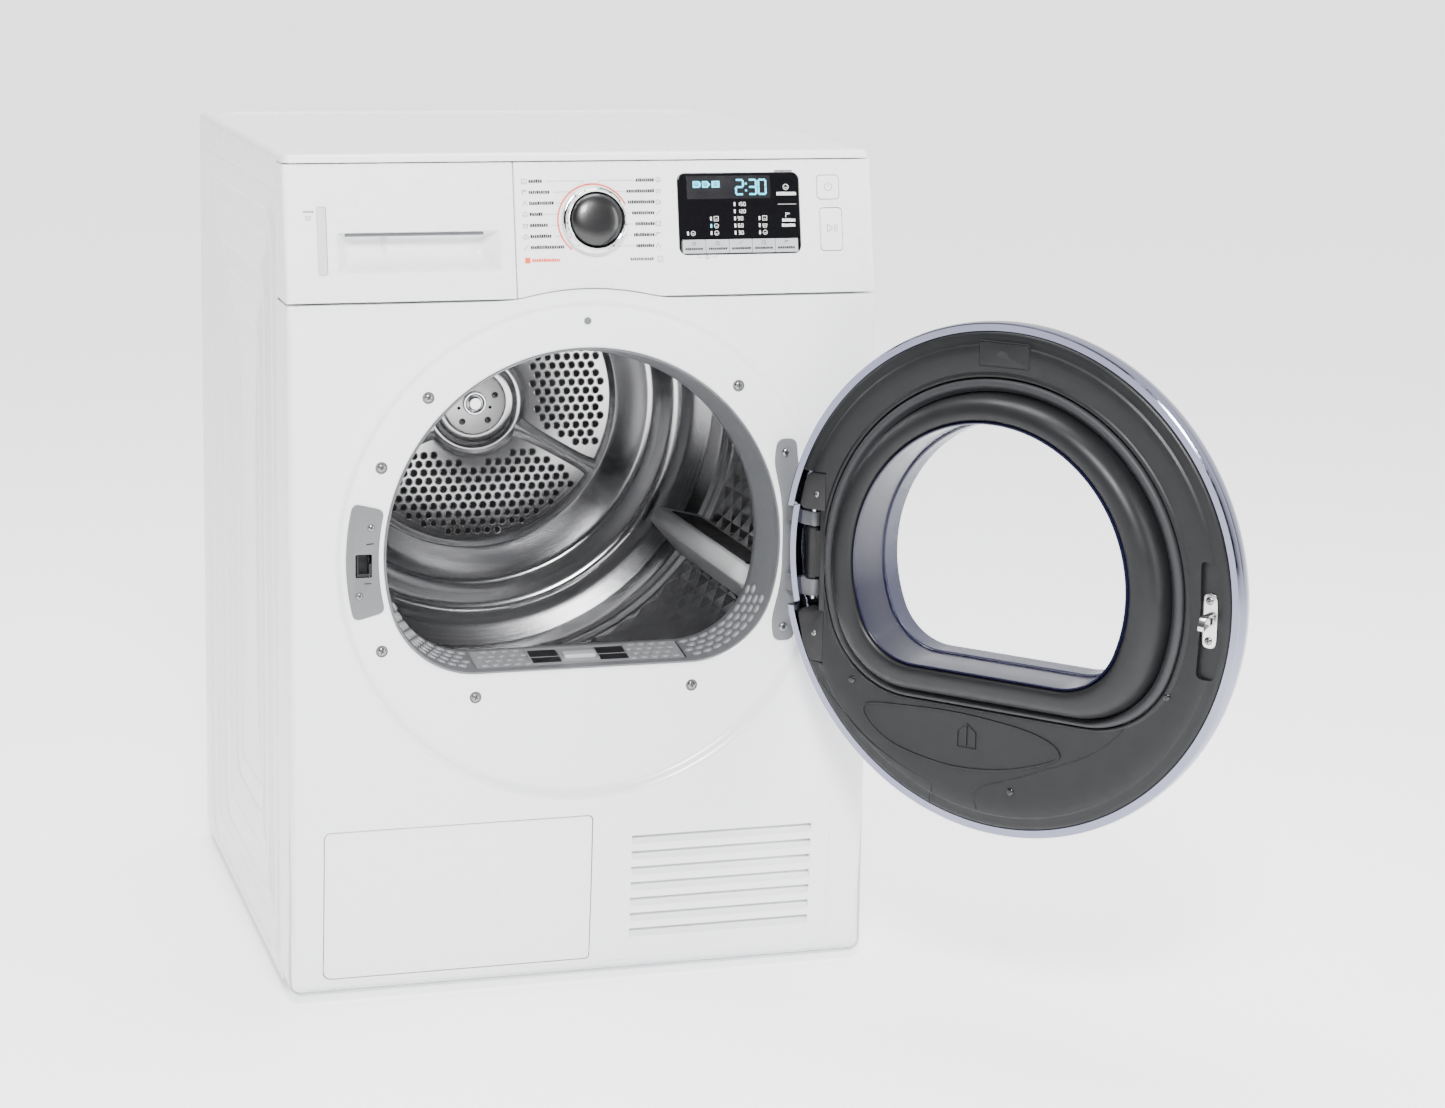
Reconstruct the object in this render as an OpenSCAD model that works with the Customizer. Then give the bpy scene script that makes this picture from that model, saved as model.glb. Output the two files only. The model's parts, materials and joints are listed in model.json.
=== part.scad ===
// Condenser clothes dryer, front loading, with the door standing open.
// Origin on the floor under the middle of the cabinet, +Z up, front towards -Y, +X to the right.

/* [Cabinet] */
// Width over the side panels
body_w = 596; // [594:1:598]
// Height from the floor to the top of the cover
body_h = 850; // [850:1:856]
// Depth from the front edge of the cover to the rear panel
body_d = 600; // [600:1:606]
// Height of the levelling feet under the cabinet
foot_h = 12; // [10:1:14]
// Thickness of the sheet steel
sheet = 1.2; // [1:0.1:1.5]

/* [Front] */
// Height of the seam between front panel and control panel
seam_z = 707; // [705:1:709]
// How far the front stands proud at the seam
bulge = 27; // [25:1:28]
// Radius of the round part of the loading opening
opening_r = 204; // [200:1:205]
// Height of the centre of the loading opening
opening_z = 454; // [453:1:455]
// Radius of the recessed seat that the door closes on
seat_r = 250; // [249:1:252]

/* [Drum] */
// Outer radius of the drum shell
drum_r = 285; // [282:1:286]
// Height of the drum axis
drum_z = 520; // [519:1:521]

/* [Door] */
// Angle at which the door stands open
door_rest = 129; // [0:1:150]
// Outer radius of the bright door ring
ring_r = 252.7; // [251:0.1:253]
// Distance of the hinge pin from the middle of the door
hinge_x = 229; // [228:1:230]

/* [Controls] */
// Radius of the programme dial
dial_r = 33.5; // [32:0.5:34]
// Number of keys under the display
key_count = 5; // [5:1:5]

/* [Hidden] */
$fn = 96;
front = -body_d / 2;
rear = body_d / 2;
side = body_w / 2;
bottom = foot_h + 0.5;
cover_h = 38;
cover_z = body_h - cover_h;
front_back = front + 38;
face_y = front - bulge;
seat_y = face_y + 7;
seat_z = opening_z - 1;
flat_below = 121;
blend = 90;
panel_low = seam_z + 2;
panel_top = cover_z + 26;
lean = atan2(bulge - 2, panel_top - panel_low);
split_x = -72;
dial_x = 7.5;
dial_u = 75.6;
screen_x = 158;
screen_u = 80.7;
screen_w = 126.8;
screen_h = 81;
key_w = 23.6;
key_h = 13.6;
key_pitch = (screen_w - 6) / key_count;
hinge_y = seat_y - 36;
door_y = seat_y - 8;
frame_r = ring_r - 9.3;
drum_front = -236;
drum_rear = 214;
belt_y = 114;
motor_x = 175;
motor_z = 96;
pulley_r = 10;
idler_r = 20;
belt_inner = drum_r + 1.2;
belt_span = norm([motor_x, motor_z - drum_z]);
belt_normal = atan2(motor_z - drum_z, motor_x) - acos((belt_inner - pulley_r) / belt_span);
idler_off = pulley_r - idler_r - 0.3;
idler_x = motor_x + idler_off * cos(belt_normal) + 74 * sin(belt_normal);
idler_z = motor_z + idler_off * sin(belt_normal) - 74 * cos(belt_normal);
pivot_x = idler_x - 60;
pivot_z = idler_z - 30;
roller_r = 32;
roller_angle = 38;
roller_y = -214;
flap_x0 = -265;
flap_x1 = 8;
flap_z0 = 26;
flap_z1 = 180;
ear_z = [[405, 422], [477, 491]];
lifter_angles = [-58, 62, 182];

// A flat shape in X and Z, given thickness along Y.
module slab_y(y0, y1) translate([0, y1, 0]) rotate([90, 0, 0]) linear_extrude(y1 - y0) children();

// A side profile in Y and Z, given width along X.
module bar_x(x0, x1) translate([x0, 0, 0]) rotate([90, 0, 90]) linear_extrude(x1 - x0) children();

// A round bar along Y.
module rod_y(r, y0, y1, x = 0, z = 0) translate([x, y1, z]) rotate([90, 0, 0]) cylinder(r = r, h = y1 - y0);

module ring_y(ro, ri, y0, y1, x = 0, z = 0) {
  difference() {
    rod_y(ro, y0, y1, x, z);
    rod_y(ri, y0 - 1, y1 + 1, x, z);
  }
}

// A profile of radius and Y, turned about an axis along Y.
module turn_y(x = 0, z = 0) translate([x, 0, z]) rotate([-90, 0, 0]) rotate_extrude() children();

module box(x0, y0, z0, x1, y1, z1) translate([x0, y0, z0]) cube([x1 - x0, y1 - y0, z1 - z0]);

module rounded(w, h, r) offset(r = r, $fn = 32) square([w - 2 * r, h - 2 * r], center = true);

// A circle cut by a level flat, with blended corners.
module d_shape(r, flat, corner) {
  offset(r = corner) offset(delta = -corner) difference() {
    circle(r);
    translate([-r, -flat - r]) square([2 * r, r]);
  }
}

// The loading opening, made larger or smaller all round.
module opening_shape(grow = 0) translate([0, opening_z])
  d_shape(opening_r + grow, flat_below + grow, blend + grow);

// How far forward the front face stands at a height.
function face_at(z) = face_y + 15 * pow(max(0, 250 - z) / 238, 2);

face_heights = [seam_z - 0.5, 250, 214, 178, 142, 106, 70, 40, bottom];

module front_profile(t) polygon(concat(
  [[front_back + (t > 0 ? 1 : 0), bottom + t], [front_back + (t > 0 ? 1 : 0), seam_z - 0.5 - t]],
  [for (z = face_heights) [face_at(z) + t, min(max(z, bottom + t), seam_z - 0.5 - t)]]));

// The raised hump of the seam over the door.
module hump(grow) {
  intersection() {
    translate([0, seat_z - 1]) circle(seam_z + 11 - seat_z + grow);
    translate([-80 - grow, seam_z - 6]) square([160 + 2 * grow, 30]);
  }
}

// Puts a piece in the plane of the leaning control panel: X right, Y inwards, Z up the face.
module on_panel(x, u) translate([x, face_y + 2, panel_low]) rotate([-lean, 0, 0]) translate([0, 0, u]) children();

module panel_profile(t) polygon([
  [front_back + (t > 0 ? 1 : 0), panel_low + t], [face_y + 2 + t, panel_low + t],
  [front + t, panel_top - t], [front + 3 + t, panel_top + 3 - t],
  [front_back + (t > 0 ? 1 : 0), panel_top + 3 - t]]);

// Turns a piece of the door from closed to where it stands.
module at_door() translate([hinge_x, hinge_y, 0]) rotate([0, 0, door_rest])
  translate([-hinge_x, -hinge_y, 0]) children();

module in_drum() translate([0, 0, drum_z]) children();

// ---------- cabinet ----------

module base_pan() color("dimgray") {
  difference() {
    box(-side + 9, front_back + 14, bottom, side - 9, rear - 4, 62);
    box(-side + 12, front_back + 17, bottom + 3, side - 12, rear - 7, 63);
  }
  box(pivot_x - 20, belt_y + 15, bottom + 2, pivot_x + 20, belt_y + 19, pivot_z + 14);
  rod_y(6, belt_y + 9, belt_y + 16, pivot_x, pivot_z);
  box(motor_x - 40, -30, bottom + 3, motor_x + 40, -24, 60);
  box(motor_x - 40, 104, bottom + 3, motor_x + 40, 110, 60);
}

module levelling_feet() color("gray") {
  for (x = [-1, 1], y = [-1, 1]) translate([x * 262, y * 232, 0]) {
    cylinder(r = 19, h = 7);
    translate([0, 0, 7]) cylinder(r = 11, h = foot_h - 6.5);
  }
}

module side_panel() {
  box(side - sheet, front_back + 0.5, bottom, side, rear - 0.5, cover_z - 0.5);
  box(side - 14, front_back + 0.5, bottom, side - sheet, front_back + 0.5 + sheet, cover_z - 78);
  bar_x(side - 0.4, side + 2) difference() {
    translate([18, 400]) rounded(430, 640, 46);
    translate([18, 400]) rounded(400, 610, 38);
  }
}

module right_side_panel() color("white") side_panel();

module left_side_panel() color("white") mirror([1, 0, 0]) side_panel();

module rear_panel() color("gainsboro") difference() {
  box(-side + 2, rear - 3, bottom, side - 2, rear - 3 + sheet, cover_z - 0.5);
  rod_y(150, rear - 5, rear + 1, 0, 470);
  rod_y(8, rear - 5, rear + 1, 240, 760);
  rod_y(9, rear - 5, rear + 1, -240, 760);
  for (i = [0 : 9]) box(110, rear - 5, 90 + 14 * i, 250, rear + 1, 96 + 14 * i);
}

// A shallow round cover over the warm air duct.
module rear_duct_cover() color("gainsboro") turn_y(0, 470)
  polygon([[0, rear], [150, rear], [170, rear - 1.6], [170, rear - 0.4], [152, rear + 1.2],
    [0, rear + 1.2]]);

module top_cover() color("white") difference() {
  translate([0, 0, cover_z]) linear_extrude(cover_h) square([body_w + 2, body_d], center = true);
  box(-side - 2 + 5, front_back - 1, cover_z - 1, side + 2 - 5, rear - 4, body_h - 7);
  box(-side - 2, front - 1, cover_z - 1, side + 2, front_back, body_h - 8);
  translate([0, 2, body_h - 2.5]) linear_extrude(4) rounded(body_w - 44, body_d - 52, 16);
}

module grille_slots() for (i = [0 : 6]) translate([145, 53 + 16.8 * i]) rounded(190, 5, 2.4);

module front_panel() color("white") difference() {
  union() {
    difference() {
      bar_x(-side - 1, side + 1) front_profile(0);
      bar_x(-side + 0.5, side - 0.5) front_profile(1.5);
    }
    intersection() {
      bar_x(-side, side) front_profile(0);
      rod_y(seat_r + 3, face_y - 10, seat_y + 1.5, 0, seat_z);
    }
    intersection() {
      slab_y(face_y + 2, face_y + 7) hump(0);
      on_panel(-100, -12) cube([200, 30, 40]);
    }
  }
  translate([0, seat_y, seat_z]) rotate([90, 0, 0]) cylinder(r1 = seat_r - 4, r2 = seat_r + 2, h = 12);
  slab_y(face_y - 10, front_back - 8) opening_shape();
  slab_y(face_y - 10, front) translate([(flap_x0 + flap_x1) / 2, (flap_z0 + flap_z1) / 2])
    square([flap_x1 - flap_x0 + 3, flap_z1 - flap_z0 + 3], center = true);
  slab_y(face_y - 10, front) grille_slots();
  slab_y(face_y - 10, front) translate([-224.5, 448]) square([18, 30], center = true);
}

module control_panel() color("white") difference() {
  bar_x(split_x + 0.5, side + 1) panel_profile(0);
  bar_x(split_x + 3, side - 1.5) panel_profile(2.5);
  slab_y(face_y - 5, front_back + 5) hump(0.6);
  on_panel(dial_x, dial_u) rod_y(3.05, -5, 8);
  on_panel(screen_x, screen_u) slab_y(-5, 8) square([screen_w - 2, screen_h - 1.6], center = true);
  on_panel(screen_x, screen_u) slab_y(-5, 1) rounded(screen_w + 0.6, screen_h + 0.6, 8.3);
  on_panel(252, 106) slab_y(-5, 8) rounded(23.6, 24.6, 4.3);
  on_panel(254, 63.5) slab_y(-5, 8) rounded(23.6, 43.6, 4.3);
}

module display_window() color("black") on_panel(screen_x, screen_u) difference() {
  union() {
    slab_y(-0.6, 0.8) rounded(screen_w, screen_h, 8);
    slab_y(0.8, 3) square([screen_w - 4, screen_h - 4], center = true);
  }
  translate([0, 0, -screen_h / 2 + 7.4]) slab_y(-5, 9) square([screen_w - 3, 16.7], center = true);
}

module control_board() color("darkgreen") on_panel(screen_x - 20, screen_u - 8) {
  slab_y(16, 18) square([210, 90], center = true);
  slab_y(18, 26) translate([0, 10]) square([150, 50], center = true);
  translate([20, 0, 16]) slab_y(4, 16) square([100, 40], center = true);
}

module front_bulkhead() color("silver") {
  difference() {
    slab_y(-256, -254.5) translate([0, 522]) square([body_w - 10, 568], center = true);
    slab_y(-260, -250) opening_shape(8);
    slab_y(-260, -250) offset(delta = 2.5) tank_outline();
  }
  ring_y(256, 254.5, -254.5, -226, 0, drum_z);
  for (s = [-1, 1]) in_drum() rod_y(5, -254.5, roller_y + 12, s * sin(roller_angle) * (drum_r + roller_r + 0.5),
    -cos(roller_angle) * (drum_r + roller_r + 0.5));
}

// The grey inner frame of the opening, with the filter duct below it.
module front_shroud() color("darkgray") {
  difference() {
    slab_y(seat_y + 2, -258) opening_shape(4.5);
    slab_y(seat_y - 2, -257) opening_shape(-0.5);
    box(-112, seat_y + 8, 300, 112, -264, 340);
  }
  difference() {
    box(-118, seat_y + 3, 232, 118, -258.5, 331);
    box(-113, seat_y + 7, 236, 113, -263, 345);
  }
}

module drum_felts() color("tan") {
  ring_y(259.2, 256.2, -247, -228, 0, drum_z);
  ring_y(266, 256, drum_rear - 3.7, drum_rear + 12.8, 0, drum_z);
}

module rear_bulkhead() color("silver") difference() {
  union() {
    difference() {
      slab_y(drum_rear + 13, drum_rear + 14.5) translate([0, 522]) square([body_w - 10, 568], center = true);
      rod_y(180, drum_rear + 10, drum_rear + 20, 0, drum_z);
    }
    for (a = [45, 135]) in_drum() rotate([0, a, 0]) box(-190, drum_rear + 14, -12, 190, drum_rear + 19, 12);
    rod_y(24, drum_rear + 14, drum_rear + 42, 0, drum_z);
  }
  rod_y(8.05, drum_rear + 5, drum_rear + 50, 0, drum_z);
}

module motor_body() color("dimgray") difference() {
  union() {
    rod_y(56, -20, 100, motor_x, motor_z);
    box(motor_x - 30, -30, 60.2, motor_x + 30, 110, 66);
    box(motor_x - 30, -10, 62, motor_x + 30, 90, 90);
  }
  rod_y(6.05, -40, 120, motor_x, motor_z);
  rod_y(40, -6, 86, motor_x, motor_z);
}

module blower_housing() color("gray") difference() {
  rod_y(90, -120, -46, motor_x, motor_z + 12);
  rod_y(86, -116, -50, motor_x, motor_z + 12);
  rod_y(50, -125, -110, motor_x, motor_z);
  rod_y(9, -60, -40, motor_x, motor_z);
}

module belt_loop(t) hull() {
  translate([0, drum_z]) circle(belt_inner + t);
  translate([motor_x, motor_z]) circle(pulley_r + 0.2 + t);
}

// The belt runs round the drum and down to the motor pulley, with the idler inside the loop.
module drive_belt() color("black") difference() {
  slab_y(belt_y - 5, belt_y + 5) belt_loop(3);
  slab_y(belt_y - 6, belt_y + 6) belt_loop(0);
}

module compressor() color("black") {
  difference() {
    union() {
      translate([-120, 150, 72]) cylinder(r = 62, h = 120);
      translate([-120, 150, 192]) cylinder(r1 = 62, r2 = 40, h = 14);
      translate([-120, 150, 16]) cylinder(r = 70, h = 56);
    }
    translate([-120, 150, 20]) cylinder(r = 57, h = 168);
  }
  rod_y(5, 20, 89, -120, 180);
  rod_y(5, 20, 96, -95, 130);
}

module heat_exchangers() color("silver") {
  for (y = [-190, -80]) difference() {
    box(-275, y, 30, -20, y + 88, 200);
    for (i = [0 : 19]) box(-272.5 + 12.6 * i, y - 1, 33, -261.5 + 12.6 * i, y + 89, 197);
  }
}

module condensate_pump() color("white") {
  translate([230, 220, 16]) cylinder(r = 30, h = 44);
  translate([230, 220, 60]) cylinder(r = 18, h = 24);
  translate([230, 220, 84]) cylinder(r = 5, h = 60);
}

module exchanger_cover() color("gray") difference() {
  slab_y(-258, -252) translate([-130, 103]) rounded(246, 136, 8);
  for (x = [-232, -28]) rod_y(5.05, -262, -250, x, 103);
}

module turn_lever(x) {
  rod_y(5, -263, -246, x, 103);
  slab_y(-267, -259) translate([x, 103]) rounded(15, 52, 7);
}

module left_turn_lever() color("royalblue") turn_lever(-232);

module right_turn_lever() color("royalblue") turn_lever(-28);

// The outer flap in front of the heat exchanger.
module filter_door() color("white") {
  intersection() {
    difference() {
      bar_x(flap_x0, flap_x1) front_profile(0);
      bar_x(flap_x0 - 1, flap_x1 + 1) front_profile(3);
    }
    box(flap_x0, face_y - 5, flap_z0, flap_x1, front, flap_z1);
  }
  box(flap_x1 - 20, face_at(100) + 3, 96, flap_x1 - 14, face_at(100) + 14, 112);
}

module latch_plate() color("darkgray") difference() {
  slab_y(seat_y - 1.6, seat_y - 0.1) translate([0, seat_z]) latch_outline();
  slab_y(seat_y - 5, seat_y + 5) translate([-224.5, 448]) square([17, 24], center = true);
}

// A band that follows the edge of the opening, with round ends.
module latch_outline() {
  intersection() {
    difference() {
      circle(seat_r - 8);
      circle(opening_r + 6);
    }
    translate([-260, -56]) square([90, 112]);
  }
}

module hinge_outline() {
  hull() {
    translate([208, 93]) circle(14, $fn = 32);
    translate([214, 40]) circle(9, $fn = 32);
  }
  hull() {
    translate([214, 40]) circle(9, $fn = 32);
    translate([214, -40]) circle(9, $fn = 32);
  }
  hull() {
    translate([208, -88]) circle(14, $fn = 32);
    translate([214, -40]) circle(9, $fn = 32);
  }
}

// The cabinet half of the hinge: a waisted plate with two ears that hold the pin.
module hinge_plate() color("darkgray") {
  slab_y(seat_y - 2, seat_y - 0.1) translate([0, seat_z]) hinge_outline();
  for (z = ear_z) translate([0, 0, z[0]]) linear_extrude(z[1] - z[0]) difference() {
    union() {
      translate([hinge_x, hinge_y]) circle(8.5);
      polygon([[206, seat_y - 2], [222, seat_y - 2], [hinge_x + 8.3, hinge_y + 2], [hinge_x - 8.3, hinge_y + 2]]);
    }
    translate([hinge_x, hinge_y]) circle(4.05);
  }
  translate([hinge_x, hinge_y, 401]) cylinder(r = 4, h = 94);
}

// Heads of the screws on the door seat, the latch plate and the hinge plate.
module front_screws() color("lightgray") {
  for (a = [46, 135, 156, 204]) rod_y(4.5, seat_y - 2.2, seat_y - 0.1,
    226 * cos(a), seat_z + 226 * sin(a));
  for (x = [-112, 112]) rod_y(4.5, seat_y - 2.2, seat_y - 0.1, x, 309);
  for (p = [[-217, 486], [-229, 418]]) rod_y(3.6, seat_y - 3, seat_y - 1.7, p[0], p[1]);
  rod_y(4.5, seat_y - 4.2, seat_y - 2.1, 208, seat_z + 93);
  rod_y(4.5, seat_y - 4.2, seat_y - 2.1, 208, seat_z - 88);
}

module cord_gland() color("black") {
  rod_y(7.5, rear - 8, rear + 6, 240, 760);
  rod_y(12, rear - 1.7, rear + 2, 240, 760);
}

module drain_spigot() color("gray") difference() {
  union() {
    rod_y(8.5, rear - 20, rear + 20, -240, 760);
    rod_y(15, rear - 1.7, rear, -240, 760);
  }
  rod_y(5.5, rear - 30, rear + 30, -240, 760);
}

// ---------- drive ----------

module motor_shaft() color("silver") {
  rod_y(6, -108, 130, motor_x, motor_z);
  rod_y(pulley_r, belt_y - 9, belt_y + 9, motor_x, motor_z);
  rod_y(36, -2, 80, motor_x, motor_z);
}

module blower_wheel() color("black") {
  difference() {
    rod_y(70, -108, -104, motor_x, motor_z);
    rod_y(6.2, -115, -100, motor_x, motor_z);
  }
  for (i = [0 : 23]) translate([motor_x, 0, motor_z]) rotate([0, i * 15, 0]) box(54, -105, -1, 68, -62, 1);
}

module idler_arm() color("gray") {
  difference() {
    slab_y(belt_y + 10, belt_y + 14) hull() {
      translate([idler_x, idler_z]) circle(12, $fn = 32);
      translate([pivot_x, pivot_z]) circle(12, $fn = 32);
    }
    rod_y(6.05, belt_y, belt_y + 20, pivot_x, pivot_z);
  }
  rod_y(5, belt_y - 12, belt_y + 10, idler_x, idler_z);
}

module idler_pulley() color("black") ring_y(idler_r, 5.05, belt_y - 8, belt_y + 8, idler_x, idler_z);

module roller(s) in_drum() ring_y(roller_r, 5.05, roller_y - 10, roller_y + 10,
  s * sin(roller_angle) * (drum_r + roller_r + 0.5), -cos(roller_angle) * (drum_r + roller_r + 0.5));

module left_roller() color("dimgray") roller(-1);

module right_roller() color("dimgray") roller(1);

// ---------- drum ----------

// The shell curls in at the front and has three rolled beads.
module drum_shell() color("silver") turn_y(0, drum_z) polygon([
  [260, drum_front - 2], [260, drum_front - 0.8], [drum_r - 4, drum_front + 4],
  [drum_r - 1.2, drum_front + 12], [drum_r - 1.2, -60], [drum_r - 4, -55], [drum_r - 4, -45],
  [drum_r - 1.2, -40], [drum_r - 1.2, 90], [drum_r - 4, 95], [drum_r - 4, 105],
  [drum_r - 1.2, 110], [drum_r - 1.2, drum_rear - 20], [drum_r, drum_rear - 20], [drum_r, 110],
  [drum_r - 2.8, 105], [drum_r - 2.8, 95], [drum_r, 90], [drum_r, -40], [drum_r - 2.8, -45],
  [drum_r - 2.8, -55], [drum_r, -60], [drum_r, drum_front + 10], [drum_r - 3, drum_front + 2],
  [264, drum_front - 2]]);

// The back of the drum: a stepped pan with a raised middle that is perforated for the warm air.
module drum_rear_wall() color("silver") turn_y(0, drum_z) polygon([
  [38, drum_rear - 8], [160, drum_rear - 4], [168, drum_rear - 11], [175, drum_rear - 9.5],
  [206, drum_rear - 9], [214, drum_rear - 11.5], [229, drum_rear - 27], [238, drum_rear - 32],
  [246, drum_rear - 30.5], [256, drum_rear - 25], [266, drum_rear - 22.5], [278, drum_rear - 20.2],
  [drum_r - 1.4, drum_rear - 19], [drum_r - 0.1, drum_rear - 19], [278.2, drum_rear - 18.7],
  [266.2, drum_rear - 21], [256.4, drum_rear - 23.5], [246.4, drum_rear - 29],
  [238, drum_rear - 30.4], [228.6, drum_rear - 25.2], [213.4, drum_rear - 9.8],
  [206, drum_rear - 7.6], [175.2, drum_rear - 8.1], [168.4, drum_rear - 9.5],
  [160.4, drum_rear - 2.8], [38, drum_rear - 6.8]]);

module drum_hub() color("lightgray") {
  rod_y(44, drum_rear - 6.5, drum_rear - 2, 0, drum_z);
  rod_y(36, drum_rear - 12, drum_rear - 6.5, 0, drum_z);
  rod_y(9, drum_rear - 18, drum_rear - 12, 0, drum_z);
  rod_y(8, drum_rear - 2, drum_rear + 44, 0, drum_z);
}

// Three tapered blades that lift the laundry.
module drum_lifters() color("gray") in_drum() for (a = lifter_angles) rotate([0, a, 0])
  difference() {
    slab_y(-214, 150) polygon([[-26, -drum_r + 6.8], [26, -drum_r + 6.8], [10, -drum_r + 58], [-10, -drum_r + 58]]);
    slab_y(-210, 146) polygon([[-23, -drum_r + 6], [23, -drum_r + 6], [7.4, -drum_r + 55], [-7.4, -drum_r + 55]]);
  }

// The filter lifts out of the bottom of the opening by its middle grip.
module lint_filter() color("darkgray") {
  difference() {
    box(-109, seat_y + 10, 240, 109, -267, 325);
    box(-104, seat_y + 14, 244, 104, -271, 322);
  }
  box(-30, seat_y + 12, 325, 30, -270, 336);
}

// ---------- water tank drawer ----------

module tank_drawer_front() color("white") difference() {
  bar_x(-side - 1, split_x - 0.5) panel_profile(0);
  bar_x(-side + 1.5, split_x - 3) panel_profile(2.5);
  on_panel(-167.5, 47.5) slab_y(-5, 8) rounded(162, 40, 3);
  on_panel(-262.5, 60) slab_y(-5, 8) rounded(9.6, 66.6, 2.5);
}

module level_window() color("lightgray") on_panel(-262.5, 60) slab_y(0.3, 3.5) rounded(9, 66, 2.2);

// The tank keeps clear of the round drum beside it.
module tank_outline() polygon([[-288, 742], [-196, 742], [-161, 770], [-128, 797], [-288, 797]]);

// A flat bottle beside the drum, with the moulded pocket of the grip at its front.
module water_tank() color("whitesmoke") {
  difference() {
    slab_y(front_back + 8, 220) tank_outline();
    slab_y(front_back + 11, 217) offset(delta = -3) tank_outline();
  }
  difference() {
    on_panel(-167.5, 47.5) slab_y(2.8, 30) square([168, 46], center = true);
    on_panel(-167.5, 47.5) slab_y(0, 27) square([162, 40], center = true);
  }
  box(-200, -294, 752, -196, front_back + 8, 790);
}

// ---------- controls ----------

module dial_knob() color("silver") on_panel(dial_x, dial_u) {
  rod_y(3, -9, 14);
  turn_y() polygon([[2.5, -1], [dial_r, -1], [dial_r, -4], [dial_r - 2, -13], [dial_r - 4, -15],
    [27, -15], [26.2, -10], [2.5, -10]]);
}

module dial_cap() color("black") on_panel(dial_x, dial_u) turn_y()
  polygon([[3.2, -10.1], [26, -10.1], [26, -15], [24, -17.6], [20, -19], [12, -20.2], [0, -20.8],
    [0, -10.1]]);

module push_button(w, h) {
  slab_y(-1.6, 6) rounded(w, h, 4);
  slab_y(6, 13) circle(4);
}

module power_button() color("white") on_panel(252, 106) push_button(22.8, 23.8);

module start_button() color("white") on_panel(254, 63.5) push_button(22.8, 42.8);

module key(i) color("silver") on_panel(screen_x + key_pitch * (i - (key_count + 1) / 2), screen_u - screen_h / 2 + 8)
  slab_y(-0.8, 6) square([key_w, key_h], center = true);

module key_1() key(1);

module key_2() key(2);

module key_3() key(3);

module key_4() key(4);

module key_5() key(5);

// ---------- door, drawn closed and turned open ----------

// The dark inner moulding: a flange with a raised, tapered plug round the window.
module door_frame() color("#3a3b3d") at_door() difference() {
  union() {
    rod_y(frame_r, door_y - 5, door_y, 0, seat_z);
    ring_y(frame_r, frame_r - 3, door_y - 16, door_y - 5, 0, seat_z);
    translate([0, door_y, opening_z]) rotate([-90, 0, 0]) mirror([0, 1, 0])
      linear_extrude(28, scale = 0.88) d_shape(184, 116, 82);
  }
  slab_y(door_y - 30, door_y + 40) translate([0, opening_z + 8]) d_shape(151, 98, 66);
  box(198, door_y - 30, 344, 260, door_y + 1, 538);
  slab_y(door_y - 20, door_y + 1) translate([-222, 447]) square([18, 54], center = true);
}

module door_ring() color("silver") at_door() difference() {
  turn_y(0, seat_z) polygon([
    [frame_r + 0.4, door_y - 3], [ring_r - 2, door_y - 3], [ring_r, door_y - 8],
    [ring_r - 0.8, door_y - 20], [ring_r - 6, door_y - 34], [ring_r - 16, door_y - 44],
    [ring_r - 30, door_y - 49], [215, door_y - 50], [215, door_y - 47], [ring_r - 31, door_y - 46],
    [ring_r - 18, door_y - 41.5], [ring_r - 8.5, door_y - 32], [frame_r + 3.4, door_y - 20],
    [frame_r + 0.4, door_y - 16]]);
  box(226, door_y - 60, 397, 262, door_y + 5, 499);
}

// The tinted outer pane, a shallow dome.
module door_outer_pane() color([0.1, 0.1, 0.13, 0.5]) at_door() turn_y(0, seat_z) polygon([
  [0, door_y - 57.5], [60, door_y - 57], [120, door_y - 55.4], [180, door_y - 52.4], [214.5, door_y - 50],
  [214.5, door_y - 47], [180, door_y - 49.4], [120, door_y - 52.4], [60, door_y - 54], [0, door_y - 54.5]]);

module window_tunnel() color("midnightblue") at_door() difference() {
  slab_y(door_y - 46, door_y + 26) translate([0, opening_z + 8]) d_shape(150.6, 97.6, 65.6);
  slab_y(door_y - 50, door_y + 30) translate([0, opening_z + 8]) d_shape(148, 95, 63);
}

module door_seal() color("#222222") at_door() difference() {
  slab_y(door_y + 0.1, door_y + 7) translate([0, opening_z]) d_shape(197, 127, 94);
  slab_y(door_y - 1, door_y + 8) translate([0, opening_z]) d_shape(185, 117, 83);
}

module door_strike() color("silver") at_door() {
  slab_y(door_y - 3.5, door_y - 1.5) translate([-222, 447]) rounded(15, 52, 6);
  box(-226, door_y - 1.5, 440, -220, door_y + 14, 454);
  box(-229, door_y + 14, 441, -220, door_y + 19, 453);
}

// The door half of the hinge: a knuckle between the ears and two covers beside them.
module hinge_block() color("black") at_door() {
  translate([0, 0, 423]) linear_extrude(53) difference() {
    union() {
      translate([hinge_x, hinge_y]) circle(8.5);
      polygon([[203, door_y - 4.8], [214, door_y - 4.8], [hinge_x + 8.3, hinge_y + 2],
        [hinge_x - 8.3, hinge_y - 2], [203, hinge_y + 6]]);
    }
    translate([hinge_x, hinge_y]) circle(4.05);
  }
  box(199, door_y - 26, 500, 216, door_y - 2, 532);
  box(199, door_y - 26, 350, 216, door_y - 2, 396);
  box(196, door_y - 26, 396, 202, door_y - 6, 500);
}

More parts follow.
